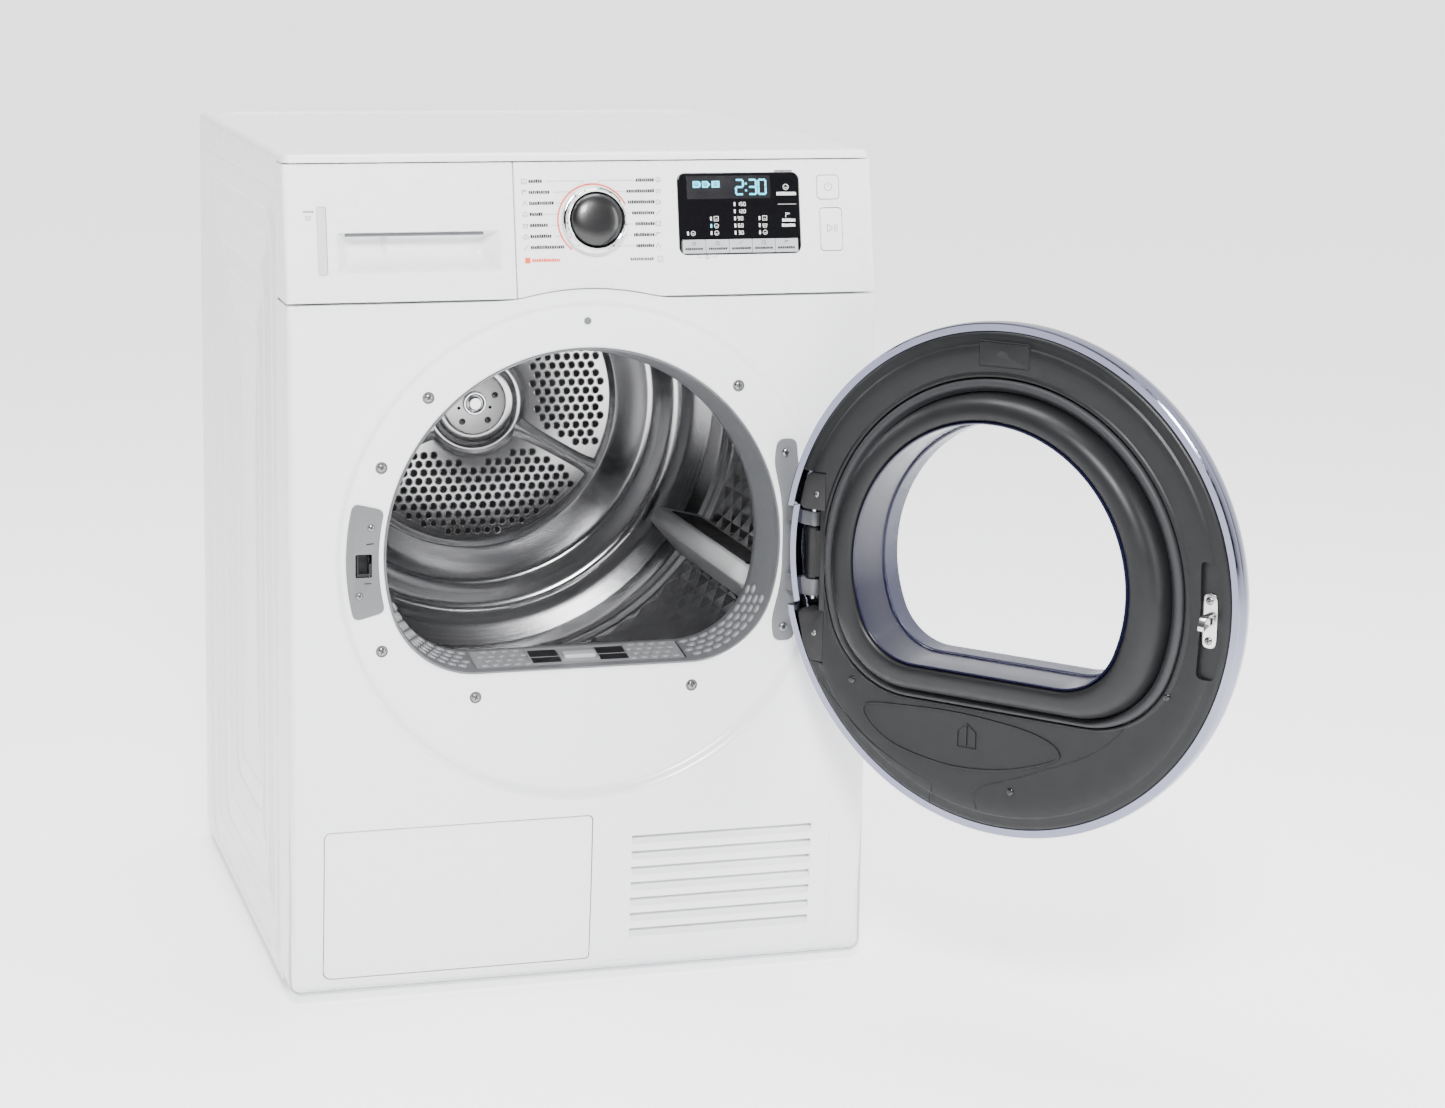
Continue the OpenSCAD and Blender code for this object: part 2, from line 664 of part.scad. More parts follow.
base_pan();
levelling_feet();
left_side_panel();
right_side_panel();
rear_panel();
rear_duct_cover();
top_cover();
front_panel();
control_panel();
display_window();
control_board();
front_bulkhead();
front_shroud();
drum_felts();
rear_bulkhead();
motor_body();
blower_housing();
drive_belt();
compressor();
heat_exchangers();
condensate_pump();
exchanger_cover();
latch_plate();
hinge_plate();
front_screws();
cord_gland();
drain_spigot();
motor_shaft();
blower_wheel();
idler_arm();
idler_pulley();
left_roller();
right_roller();
drum_shell();
drum_rear_wall();
drum_hub();
drum_lifters();
lint_filter();
left_turn_lever();
right_turn_lever();
filter_door();
tank_drawer_front();
water_tank();
level_window();
dial_knob();
dial_cap();
power_button();
start_button();
key_1();
key_2();
key_3();
key_4();
key_5();
door_frame();
door_ring();
door_outer_pane();
window_tunnel();
door_seal();
door_strike();
hinge_block();
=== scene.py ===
# %% [markdown]
# # A front-loading clothes dryer
# The CAD model is a fixed frame: every position below comes from it. Shapes are written in millimetres and
# turned into metres once, when a mesh is made.

# %% Load the frame
import bpy
import bmesh
import json
import math
import numpy as np
from mathutils import Matrix, Vector


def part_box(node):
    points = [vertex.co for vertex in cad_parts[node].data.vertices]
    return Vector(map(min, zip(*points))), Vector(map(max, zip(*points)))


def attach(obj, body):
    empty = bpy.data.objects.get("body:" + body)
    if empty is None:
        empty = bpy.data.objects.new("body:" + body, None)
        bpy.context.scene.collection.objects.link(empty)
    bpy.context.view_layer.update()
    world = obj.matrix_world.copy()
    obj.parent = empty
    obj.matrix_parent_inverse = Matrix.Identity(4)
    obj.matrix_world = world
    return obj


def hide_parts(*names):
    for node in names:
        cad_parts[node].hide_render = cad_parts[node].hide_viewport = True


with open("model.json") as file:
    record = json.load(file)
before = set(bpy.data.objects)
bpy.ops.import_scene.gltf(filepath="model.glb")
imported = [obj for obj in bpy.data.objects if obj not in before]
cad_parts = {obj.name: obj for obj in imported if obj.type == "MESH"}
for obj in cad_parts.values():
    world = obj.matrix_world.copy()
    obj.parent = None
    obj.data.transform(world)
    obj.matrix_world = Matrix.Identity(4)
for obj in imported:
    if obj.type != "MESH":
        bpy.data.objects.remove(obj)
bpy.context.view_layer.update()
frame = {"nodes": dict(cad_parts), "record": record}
MM = 0.001
record = frame["record"]
joints = {j["name"]: j for j in record["behaviour"]["joints"]}


def box_mm(node):
    """Lowest and highest corner of a CAD node, in millimetres."""
    low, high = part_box(node)
    return np.array(low) / MM, np.array(high) / MM


# %% [markdown]
# ## Driving sizes
# The cabinet, seat, drum and hinge are read from the frame, so the looks follow the CAD model.

# %% Driving sizes
cover_low, cover_high = box_mm("top_cover")
panel_low = box_mm("front_panel")[0]
fascia_low = box_mm("control_panel")[0]
drawer_low, drawer_high = box_mm("tank_drawer_front")
FRONT = cover_low[1]
REAR = cover_high[1]
HALF = cover_high[0]
FACE = panel_low[1]
SEAT_Y = FACE + 7
OPEN_Z = 454.0
OPEN_R = 204.0
OPEN_FLAT = 121.0
OPEN_BLEND = 90.0
SEAT_Z = OPEN_Z - 1
SEAM = 706.5
BOTTOM = panel_low[2]
HINGE = np.array(joints["door_hinge"]["pos_m"]) / MM
DOOR_OPEN = -math.radians(joints["door_hinge"]["range_deg"][0])
DRUM_Z = joints["drum_spin"]["pos_m"][2] / MM
print("cabinet", cover_low, cover_high, "door stands open", round(math.degrees(DOOR_OPEN), 1))

# %% [markdown]
# ## The camera
# It stands to the left of the dryer, a little above it, and looks down and to the right.

# %% Camera and floor
CAMERA_AT = Vector((-0.7804, -3.3717, 1.1109))
YAW, PITCH, ROLL = 0.2931, 0.1647, 0.0155
forward = Vector((math.sin(YAW) * math.cos(PITCH), math.cos(YAW) * math.cos(PITCH), -math.sin(PITCH)))
level_right = Vector((math.cos(YAW), -math.sin(YAW), 0))
level_up = level_right.cross(forward)
right = level_right * math.cos(ROLL) + level_up * math.sin(ROLL)
up = level_up * math.cos(ROLL) - level_right * math.sin(ROLL)
camera_data = bpy.data.cameras.new("camera")
camera_data.sensor_width = 36
camera_data.lens = 80.07
camera_data.shift_y = -0.0927
camera = bpy.data.objects.new("camera", camera_data)
bpy.context.scene.collection.objects.link(camera)
turn = Matrix((right, up, -forward)).transposed()
camera.matrix_world = Matrix.Translation(CAMERA_AT) @ turn.to_4x4()
bpy.context.scene.camera = camera
print("camera at", tuple(round(c, 3) for c in camera.location), "lens", camera_data.lens)

# %% [markdown]
# ## Mesh helpers
# Most parts of an appliance are one of three things: a profile turned about an axis, a row of outlines joined
# into a skin, or a flat outline given thickness. Each helper makes one of them, and `make_piece` parents the
# result to its body, gives it its material, and hides the CAD nodes that it stands for.


# %% Making a piece
def make_piece(name, verts, faces, material, body, slot, nodes=(), sharp=35.0):
    """A mesh object from points in millimetres, with its normals outwards and its sharp edges marked."""
    mesh = bpy.data.meshes.new(name)
    mesh.from_pydata((np.asarray(verts, float) * MM).tolist(), [], faces)
    obj = bpy.data.objects.new(name, mesh)
    bpy.context.scene.collection.objects.link(obj)
    tidy_mesh(obj, sharp)
    mesh.materials.append(material)
    return settle(obj, body, nodes)


def tidy_mesh(obj, sharp=35.0, merge=2e-6):
    work = bmesh.new()
    work.from_mesh(obj.data)
    bmesh.ops.remove_doubles(work, verts=work.verts, dist=merge)
    bmesh.ops.recalc_face_normals(work, faces=work.faces)
    work.to_mesh(obj.data)
    work.free()
    smooth(obj, sharp)


def smooth(obj, sharp):
    obj.data.polygons.foreach_set("use_smooth", [True] * len(obj.data.polygons))
    obj.data.set_sharp_from_angle(angle=math.radians(sharp))


def settle(obj, body, nodes=()):
    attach(obj, body)
    if nodes:
        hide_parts(*nodes)
    return obj


def bake(obj, sharp=35.0):
    """Turns an object's modifiers into plain mesh."""
    graph = bpy.context.evaluated_depsgraph_get()
    mesh = bpy.data.meshes.new_from_object(obj.evaluated_get(graph))
    old = obj.data
    obj.modifiers.clear()
    obj.data = mesh
    bpy.data.meshes.remove(old)
    smooth(obj, sharp)
    return obj


def cut(obj, cutters, sharp=35.0):
    """Takes cutter solids out of a piece, and removes the cutters."""
    for cutter in cutters:
        modifier = obj.modifiers.new("cut", "BOOLEAN")
        modifier.object = cutter
        modifier.solver = "EXACT"
    bake(obj, sharp)
    for cutter in cutters:
        bpy.data.objects.remove(cutter)
    return obj


def add_bevel(obj, width, segments=3, angle=40.0, sharp=35.0):
    modifier = obj.modifiers.new("bevel", "BEVEL")
    modifier.width = width * MM
    modifier.segments = segments
    modifier.limit_method = "ANGLE"
    modifier.angle_limit = math.radians(angle)
    modifier.harden_normals = False
    return bake(obj, sharp)


# %% Skins, lathes and slabs
def skin(rings, closed=True, cap_start=False, cap_end=False, loop=False):
    """Faces between rings of points. Rings have one length; loop joins the last ring to the first."""
    rings = [np.asarray(r, float) for r in rings]
    count = len(rings[0])
    verts = np.vstack(rings)
    faces = []
    steps = count if closed else count - 1
    rows = len(rings) if loop else len(rings) - 1
    for i in range(rows):
        a, b = i * count, ((i + 1) % len(rings)) * count
        for j in range(steps):
            k = (j + 1) % count
            faces.append((a + j, a + k, b + k, b + j))
    if cap_start:
        faces.append(tuple(range(count))[::-1])
    if cap_end:
        faces.append(tuple((len(rings) - 1) * count + j for j in range(count)))
    return verts, faces


def lathe(profile, x=0.0, z=0.0, segments=160, loop=True):
    """Turns a profile of (radius, y) about an axis along Y."""
    angles = np.linspace(0, 2 * math.pi, segments, endpoint=False)
    rings = [np.column_stack([x + r * np.cos(angles), np.full(segments, y), z + r * np.sin(angles)])
             for r, y in profile]
    return skin(rings, loop=loop)


def slab(outline, y0, y1):
    """A flat outline in X and Z, given thickness along Y."""
    outline = np.asarray(outline, float)
    rings = [np.column_stack([outline[:, 0], np.full(len(outline), y), outline[:, 1]]) for y in (y0, y1)]
    return skin(rings, cap_start=True, cap_end=True)


def join_parts(parts):
    """One list of points and faces from several."""
    verts, faces, base = [], [], 0
    for v, f in parts:
        verts.append(np.asarray(v, float))
        faces += [tuple(i + base for i in face) for face in f]
        base += len(v)
    return np.vstack(verts), faces


def loose(name, verts, faces):
    """A plain mesh object used only as a cutter."""
    mesh = bpy.data.meshes.new(name)
    mesh.from_pydata((np.asarray(verts, float) * MM).tolist(), [], faces)
    obj = bpy.data.objects.new(name, mesh)
    bpy.context.scene.collection.objects.link(obj)
    tidy_mesh(obj)
    return obj


# %% Outlines
def arc(cx, cz, r, start, stop, count):
    angles = np.radians(np.linspace(start, stop, count))
    return np.column_stack([cx + r * np.cos(angles), cz + r * np.sin(angles)])


def rounded_box(x0, x1, z0, z1, radii, count=9):
    """A rectangle with round corners: radii are for the top right, top left, bottom left and bottom right."""
    a, b, c, d = radii if hasattr(radii, "__len__") else (radii,) * 4
    return np.vstack([arc(x1 - a, z1 - a, a, 0, 90, count), arc(x0 + b, z1 - b, b, 90, 180, count),
                      arc(x0 + c, z0 + c, c, 180, 270, count), arc(x1 - d, z0 + d, d, 270, 360, count)])


def d_outline(r, flat, blend, centre_z, count=720):
    """A circle cut by a level flat, with blended corners, as a dense closed outline."""
    side = math.sqrt((r - blend) ** 2 - (flat - blend) ** 2)
    start = math.degrees(math.atan2(-(flat - blend), side))
    big = arc(0, 0, r, start, 180 - start, count // 2)
    left = arc(-side, -(flat - blend), blend, 180 - start, 270, count // 8)
    base = np.column_stack([np.linspace(-side, side, count // 8), np.full(count // 8, -flat)])
    right_corner = arc(side, -(flat - blend), blend, -90, start, count // 8)
    return np.vstack([big, left[1:], base[1:], right_corner[1:-1]]) + (0, centre_z)


def by_angle(outline, centre, count):
    """The same outline as points at equal angles about a centre that sees all of it."""
    rel = np.asarray(outline, float) - centre
    after = np.roll(rel, -1, axis=0)
    share = np.linspace(0, 1, 200, endpoint=False)[:, None, None]
    length = np.hypot(*(after - rel).T)
    dense = (rel + (after - rel) * share).transpose(1, 0, 2)
    keep = np.where(length > 4, 1, 200)
    rel = np.vstack([part[::step] for part, step in zip(dense, keep)])
    angle = np.arctan2(rel[:, 1], rel[:, 0])
    order = np.argsort(angle)
    angle, radius = angle[order], np.hypot(*rel[order].T)
    wanted = np.linspace(-math.pi, math.pi, count, endpoint=False)
    radius = np.interp(wanted, angle, radius, period=2 * math.pi)
    return np.column_stack([radius * np.cos(wanted), radius * np.sin(wanted)]) + centre


def circle(r, centre_z, count=720):
    return arc(0, centre_z, r, 0, 360, count + 1)[:-1]


def ring_at(outline, y):
    """An outline in X and Z, placed at a height or at one Y for each point."""
    y = np.broadcast_to(np.asarray(y, float), len(outline))
    return np.column_stack([outline[:, 0], y, outline[:, 1]])


print("helpers ready")

# %% [markdown]
# ## Finishes
# Each finish is a small node tree on the surface's own coordinates: a base colour that wanders a little, a
# roughness that is never quite even, and a fine bump for the grain of the tool or the brush.


# %% Material helpers
def new_material(name, color, roughness, metallic=0.0):
    material = bpy.data.materials.new(name)
    material.use_nodes = True
    shader = material.node_tree.nodes["Principled BSDF"]
    shader.inputs["Base Color"].default_value = (*color, 1)
    shader.inputs["Roughness"].default_value = roughness
    shader.inputs["Metallic"].default_value = metallic
    return material, material.node_tree, shader


def noise_field(tree, scale, detail=2.0, stretch=(1, 1, 1)):
    """Noise on Object coordinates, in metres, stretched along an axis where the finish has a grain."""
    place = tree.nodes.new("ShaderNodeTexCoord")
    mapping = tree.nodes.new("ShaderNodeMapping")
    noise = tree.nodes.new("ShaderNodeTexNoise")
    mapping.inputs["Scale"].default_value = stretch
    noise.inputs["Scale"].default_value = scale
    noise.inputs["Detail"].default_value = detail
    tree.links.new(place.outputs["Object"], mapping.inputs["Vector"])
    tree.links.new(mapping.outputs["Vector"], noise.inputs["Vector"])
    return noise.outputs["Fac"]


def remap(tree, value, low, high, start=0.3, stop=0.7):
    node = tree.nodes.new("ShaderNodeMapRange")
    node.inputs["From Min"].default_value = start
    node.inputs["From Max"].default_value = stop
    node.inputs["To Min"].default_value = low
    node.inputs["To Max"].default_value = high
    tree.links.new(value, node.inputs["Value"])
    return node.outputs["Result"]


def mix_colors(tree, value, first, second):
    node = tree.nodes.new("ShaderNodeMix")
    node.data_type = "RGBA"
    node.inputs["A"].default_value = (*first, 1)
    node.inputs["B"].default_value = (*second, 1)
    tree.links.new(value, node.inputs["Factor"])
    return node.outputs["Result"]


def add_bump(tree, shader, value, strength, distance):
    bump = tree.nodes.new("ShaderNodeBump")
    bump.inputs["Strength"].default_value = strength
    bump.inputs["Distance"].default_value = distance
    tree.links.new(value, bump.inputs["Height"])
    tree.links.new(bump.outputs["Normal"], shader.inputs["Normal"])


def grained(name, color, roughness, spread=0.05, grain=900.0, depth=0.00004, vary=0.06, metallic=0.0,
            coat=0.0, stretch=(1, 1, 1), shine=0.5):
    """The common finish: slightly uneven colour and gloss, with a fine grain."""
    material, tree, shader = new_material(name, color, roughness, metallic)
    shader.inputs["Specular IOR Level"].default_value = shine
    shader.inputs["Coat Weight"].default_value = coat
    shader.inputs["Coat Roughness"].default_value = 0.12
    broad = noise_field(tree, 9.0, 3.0)
    dark = tuple(c * (1 - vary) for c in color)
    tree.links.new(mix_colors(tree, broad, dark, color), shader.inputs["Base Color"])
    middling = noise_field(tree, 55.0, 3.0, stretch)
    tree.links.new(remap(tree, middling, roughness - spread, roughness + spread), shader.inputs["Roughness"])
    add_bump(tree, shader, noise_field(tree, grain, 2.0, stretch), 0.35, depth)
    return material


# %% The finishes
white_enamel = grained("white_enamel", (0.86, 0.87, 0.885), 0.24, 0.03, 420.0, 0.00002, 0.015, coat=0.3)
white_plastic = grained("white_plastic", (0.875, 0.88, 0.895), 0.27, 0.03, 700.0, 0.00002, 0.015, coat=0.2)
charcoal = grained("charcoal_plastic", (0.009, 0.0093, 0.0105), 0.42, 0.05, 1500.0, 0.00004, 0.12, shine=0.3)
black_satin = grained("black_satin", (0.007, 0.007, 0.008), 0.38, 0.06, 1200.0, 0.00004, 0.1, shine=0.35)
grey_plastic = grained("grey_plastic", (0.125, 0.129, 0.137), 0.4, 0.05, 1400.0, 0.00004, 0.08)
filter_grey = grained("filter_grey", (0.23, 0.235, 0.245), 0.34, 0.05, 1200.0, 0.00003, 0.08)
rubber = grained("seal_rubber", (0.03, 0.031, 0.034), 0.5, 0.05, 1600.0, 0.00006, 0.15, shine=0.3)
zinc = grained("galvanised", (0.55, 0.57, 0.6), 0.38, 0.1, 120.0, 0.00005, 0.25, metallic=0.9)
felt = grained("felt", (0.36, 0.33, 0.27), 0.95, 0.03, 2600.0, 0.0004, 0.3)
castings = grained("painted_iron", (0.03, 0.03, 0.033), 0.55, 0.08, 500.0, 0.0001, 0.2)
bright_steel = grained("bright_steel", (0.62, 0.62, 0.63), 0.2, 0.05, 300.0, 0.00002, 0.1, metallic=1.0)
chrome = grained("chrome", (0.78, 0.785, 0.8), 0.1, 0.03, 160.0, 0.00001, 0.05, metallic=1.0)
silver_key = grained("silver_key", (0.50, 0.51, 0.53), 0.33, 0.05, 1800.0, 0.00003, 0.05, metallic=0.25)
fins = grained("fin_aluminium", (0.7, 0.71, 0.73), 0.35, 0.08, 900.0, 0.0001, 0.2, metallic=0.9,
               stretch=(8, 1, 1))
board_green = grained("board_green", (0.02, 0.12, 0.05), 0.4, 0.1, 300.0, 0.0001, 0.4)
lever_blue = grained("lever_blue", (0.03, 0.09, 0.3), 0.4, 0.05, 1200.0, 0.00004, 0.1)
tank_white = grained("tank_plastic", (0.72, 0.75, 0.78), 0.35, 0.05, 600.0, 0.00005, 0.05)
embossed_steel = grained("embossed_steel", (0.66, 0.66, 0.67), 0.2, 0.03, 300.0, 0.000005, 0.1, metallic=1.0)
screw_steel = grained("screw_steel", (0.28, 0.28, 0.29), 0.28, 0.08, 700.0, 0.00003, 0.3, metallic=1.0)
gauge = grained("frosted_gauge", (0.60, 0.61, 0.63), 0.3, 0.05, 1200.0, 0.00003, 0.06)


# %% Steel that is brushed round the drum
def brushed_drum(name, color, roughness):
    """Brush lines run round the axis, so the noise reads the radius and the depth, not the angle."""
    material, tree, shader = new_material(name, color, roughness, 1.0)
    place = tree.nodes.new("ShaderNodeTexCoord")
    split = tree.nodes.new("ShaderNodeSeparateXYZ")
    tree.links.new(place.outputs["Object"], split.inputs["Vector"])
    drop = tree.nodes.new("ShaderNodeMath")
    drop.operation = "SUBTRACT"
    drop.inputs[1].default_value = DRUM_Z * MM
    tree.links.new(split.outputs["Z"], drop.inputs[0])
    flat = tree.nodes.new("ShaderNodeCombineXYZ")
    tree.links.new(split.outputs["X"], flat.inputs["X"])
    tree.links.new(drop.outputs[0], flat.inputs["Y"])
    length = tree.nodes.new("ShaderNodeVectorMath")
    length.operation = "LENGTH"
    tree.links.new(flat.outputs[0], length.inputs[0])
    lines = tree.nodes.new("ShaderNodeCombineXYZ")
    tree.links.new(length.outputs["Value"], lines.inputs["X"])
    tree.links.new(split.outputs["Y"], lines.inputs["Y"])
    noise = tree.nodes.new("ShaderNodeTexNoise")
    noise.inputs["Scale"].default_value = 700.0
    noise.inputs["Detail"].default_value = 3.0
    tree.links.new(lines.outputs[0], noise.inputs["Vector"])
    tree.links.new(remap(tree, noise.outputs["Fac"], roughness - 0.03, roughness + 0.04),
                   shader.inputs["Roughness"])
    dark = tuple(c * 0.9 for c in color)
    tree.links.new(mix_colors(tree, noise.outputs["Fac"], dark, color), shader.inputs["Base Color"])
    shader.inputs["Anisotropic"].default_value = 0.3
    return material


drum_steel = brushed_drum("drum_steel", (0.58, 0.58, 0.59), 0.19)
hub_steel = brushed_drum("hub_steel", (0.95, 0.95, 0.95), 0.42)


# %% Glass, glossy black and the coloured ring
def plain_gloss(name, color, roughness, coat=0.0, metallic=0.0, emission=None, strength=1.0):
    material, tree, shader = new_material(name, color, roughness, metallic)
    shader.inputs["Coat Weight"].default_value = coat
    tree.links.new(remap(tree, noise_field(tree, 40.0, 2.0), roughness * 0.8, roughness * 1.2),
                   shader.inputs["Roughness"])
    if emission:
        shader.inputs["Emission Color"].default_value = (*emission, 1)
        shader.inputs["Emission Strength"].default_value = strength
    return material


display_black = plain_gloss("display_black", (0.004, 0.004, 0.005), 0.08, coat=0.5)
navy = plain_gloss("tunnel_navy", (0.008, 0.008, 0.028), 0.2)
navy_light = plain_gloss("tunnel_step", (0.035, 0.037, 0.075), 0.22)
cyan_light = plain_gloss("display_cyan", (0.05, 0.5, 0.65), 0.4, emission=(0.10, 0.62, 0.82), strength=1.3)
white_light = plain_gloss("display_white", (0.6, 0.6, 0.6), 0.4, emission=(0.8, 0.8, 0.8), strength=0.55)
print_dark = plain_gloss("print_dark", (0.008, 0.008, 0.009), 0.7)
# print_and_shade_grey is grey print, and also the painted shade of the washers round the seat screws.
print_and_shade_grey = plain_gloss("print_and_shade_grey", (0.09, 0.09, 0.095), 0.7)
print_orange = plain_gloss("print_orange", (0.75, 0.075, 0.008), 0.6)
# hole_dark is painted shade where it fills holes, screw recesses and the latch hole; on seams and marks it is
# their own dark colour.
hole_dark = plain_gloss("hole_dark", (0.006, 0.006, 0.007), 0.6)


def make_ring_metal():
    """Bright metal with a blue-violet coating that deepens where the noise is dark."""
    material, tree, shader = new_material("ring_metal", (0.42, 0.43, 0.56), 0.14, 1.0)
    tone = noise_field(tree, 6.0, 2.0)
    tree.links.new(mix_colors(tree, tone, (0.15, 0.155, 0.23), (0.30, 0.305, 0.39)),
                   shader.inputs["Base Color"])
    tree.links.new(remap(tree, noise_field(tree, 90.0, 3.0), 0.1, 0.2), shader.inputs["Roughness"])
    return material


def make_glass():
    material, tree, shader = new_material("window_glass", (0.94, 0.95, 0.96), 0.03)
    shader.inputs["Transmission Weight"].default_value = 1.0
    shader.inputs["IOR"].default_value = 1.12
    tree.links.new(remap(tree, noise_field(tree, 12.0, 1.0), 0.01, 0.04), shader.inputs["Roughness"])
    return material


def make_cap_black():
    """The black dome of the dial: its colour wanders a little between two near blacks, under a light coat."""
    material, tree, shader = new_material("dial_black", (0.02, 0.02, 0.022), 0.33)
    shader.inputs["Coat Weight"].default_value = 0.25
    tree.links.new(mix_colors(tree, noise_field(tree, 20.0, 2.0), (0.004, 0.004, 0.0045),
                              (0.010, 0.010, 0.011)),
                   shader.inputs["Base Color"])
    add_bump(tree, shader, noise_field(tree, 1600.0, 2.0), 0.3, 0.00003)
    return material


ring_metal = make_ring_metal()
glass = make_glass()
dial_black = make_cap_black()
print("finishes", len(bpy.data.materials))

# %% [markdown]
# ## The white cabinet
# A pad is a closed moulding with a rounded front edge. Its outline shrinks ring by ring, and a depth is
# added to a surface that may be flat or curved.


# %% Pads and the leaning panel
def pad(outline_at, centre, depth_at, rounding, thickness, steps=4, inner=(0.7, 0.35, 0.05)):
    """outline_at(inset) gives points in X and Z, and depth_at(points) the Y of the finished front."""
    rings = []

    def add(outline, extra):
        rings.append(np.column_stack([outline[:, 0], depth_at(outline) + extra, outline[:, 1]]))

    add(outline_at(0), thickness)
    for step in range(steps + 1):
        turn_angle = math.pi / 2 * step / steps
        add(outline_at(rounding * (1 - math.cos(turn_angle))), rounding * (1 - math.sin(turn_angle)))
    last = outline_at(rounding)
    for share in inner:
        add(np.asarray(centre) + (last - centre) * share, 0)
    return skin(rings, cap_start=True, cap_end=True)


def face_y(points):
    """How far forward the front stands: it curves back towards the floor."""
    low = np.maximum(0, 250 - np.asarray(points)[:, 1]) / 238
    return FACE + 15 * low ** 2


LEAN = math.atan2(25, 129)
PANEL_BASE = np.array([0, FACE + 2, SEAM + 2.5])


def to_panel(verts):
    """From panel coordinates (X, depth, height up the face) to the dryer's frame."""
    verts = np.asarray(verts, float)
    y = PANEL_BASE[1] + verts[:, 2] * math.sin(LEAN) + verts[:, 1] * math.cos(LEAN)
    z = PANEL_BASE[2] + verts[:, 2] * math.cos(LEAN) - verts[:, 1] * math.sin(LEAN)
    return np.column_stack([verts[:, 0], y, z])


def panel_pad(x, u, w, h, corner, rounding, depth, thickness):
    """A pad on the leaning panel, with its front at a depth below the panel's surface."""
    def outline_at(inset):
        return rounded_box(x - w / 2 + inset, x + w / 2 - inset, u - h / 2 + inset, u + h / 2 - inset,
                           max(corner - inset, 0.2))
    verts, faces = pad(outline_at, (x, u), lambda p: np.full(len(p), float(depth)), rounding, thickness)
    return to_panel(verts), faces


def panel_slab(outline, d0, d1):
    verts, faces = slab(outline, d0, d1)
    return to_panel(verts), faces


# %% Front panel
RAYS = 960
FRONT_CENTRE = np.array([0, 430.0])


def front_outline(side, ends, hump=True):
    x1, top, low = HALF - side, SEAM - ends, BOTTOM + ends
    xs = np.linspace(150, -150, 121)
    rise = OPEN_Z - 2 + np.sqrt((SEAM + 11.5 - SEAT_Z - ends) ** 2 - xs ** 2) - top
    rise = 0.5 * (rise + np.sqrt(rise ** 2 + 9)) if hump else np.zeros(len(xs))
    rise[0] = rise[-1] = 0
    crest = np.column_stack([xs, top + rise])
    corner = 12 - ends
    points = np.vstack([arc(x1 - 1, top - 1, 1, 0, 90, 4), crest, arc(-x1 + 1, top - 1, 1, 90, 180, 4),
                        arc(-x1 + corner, low + corner, corner, 180, 270, 10),
                        arc(x1 - corner, low + corner, corner, 270, 360, 10)])
    return by_angle(points, FRONT_CENTRE, RAYS)


def opening_ring(grow):
    return by_angle(d_outline(OPEN_R + grow, OPEN_FLAT + grow, OPEN_BLEND + grow, OPEN_Z), FRONT_CENTRE, RAYS)


def seat_ring(r):
    return by_angle(circle(r, SEAT_Z), FRONT_CENTRE, RAYS)


def front_shell():
    back_y = FRONT + 38.0
    edge = front_outline(0, 0)
    near_end = np.clip(np.minimum(SEAM - edge[:, 1], edge[:, 1] - BOTTOM) / 25, 0, 1)
    radius = 1.5 + 6.5 * near_end
    rings = [ring_at(front_outline(0, 0, False), back_y), ring_at(front_outline(0, 0, False), SEAT_Y + 1),
             ring_at(edge, SEAT_Y + 1)]
    for turn_deg in (0, 22.5, 45, 67.5, 90):
        c, s = 1 - math.cos(math.radians(turn_deg)), 1 - math.sin(math.radians(turn_deg))
        outline = front_outline(8 * c, 1.5 * c)
        rings.append(ring_at(outline, face_y(outline) + radius * s))
    outer, rim = front_outline(8, 1.5), seat_ring(257)
    for share in (0.25, 0.5, 0.75, 1.0):
        outline = outer + (rim - outer) * share
        rings.append(ring_at(outline, face_y(outline)))
    for r, drop in ((255, 0.25), (253, 1.0), (251, 2.4), (249, 4.4), (247.2, 6.0), (245, 6.9), (243, 7.0)):
        outline = seat_ring(r)
        rings.append(ring_at(outline, FACE + drop))
    for grow, drop in ((6, 7.0), (3, 7.1), (1.2, 7.5), (0.2, 8.3), (0.2, 8.8)):
        rings.append(ring_at(opening_ring(grow), FACE + drop))
    rings += [ring_at(seat_ring(242), SEAT_Y + 1.8), ring_at(seat_ring(256), FACE + 1.6)]
    inner = front_outline(9.6, 3)
    rings.append(ring_at(inner, face_y(inner) + 1.6))
    rings.append(ring_at(front_outline(1.6, 3, False), SEAT_Y + 4))
    rings.append(ring_at(front_outline(1.6, 1.6, False), back_y))
    return skin(rings, loop=True)


def face_cutter(outline_points, centre, depth):
    """A cutter that follows the curved front down to a depth."""
    count = 160
    rings = [ring_at(by_angle(outline_points, centre, count), FACE - 8)]
    for share in (1.0, 0.66, 0.33, 0.04):
        outline = np.asarray(centre) + (by_angle(outline_points, centre, count) - centre) * share
        rings.append(ring_at(outline, face_y(outline) + depth))
    return skin(rings, cap_start=True, cap_end=True)


flap_low, flap_high = box_mm("filter_door")
FLAP = (flap_low[0], flap_high[0], flap_low[2], flap_high[2])
front_panel = make_piece("front_panel_shell", *front_shell(), white_enamel, "cabinet", "white_enamel",
                         ["front_panel"], 40)
relief = rounded_box(FLAP[0] - 6, 262, FLAP[2] - 5, FLAP[3] + 7, (12, 12, 12, 12), 10)
cut(front_panel, [loose("relief", *face_cutter(relief, (0.0, 103.0), 0.6))], 40)
flap_gap = rounded_box(FLAP[0] - 0.9, FLAP[1] + 0.9, FLAP[2] - 0.9, FLAP[3] + 0.9, (5, 7, 9, 4), 8)
GRILLE_X, GRILLE_W, GRILLE_Z, GRILLE_STEP = 146.0, 192.0, 52.5, 16.8
slots = [slab(rounded_box(GRILLE_X - GRILLE_W / 2, GRILLE_X + GRILLE_W / 2, GRILLE_Z + GRILLE_STEP * i - 6.5,
                          GRILLE_Z + GRILLE_STEP * i + 2.5, (0.6, 0.6, 2.5, 2.5), 4), FACE - 8, FRONT)
         for i in range(7)]
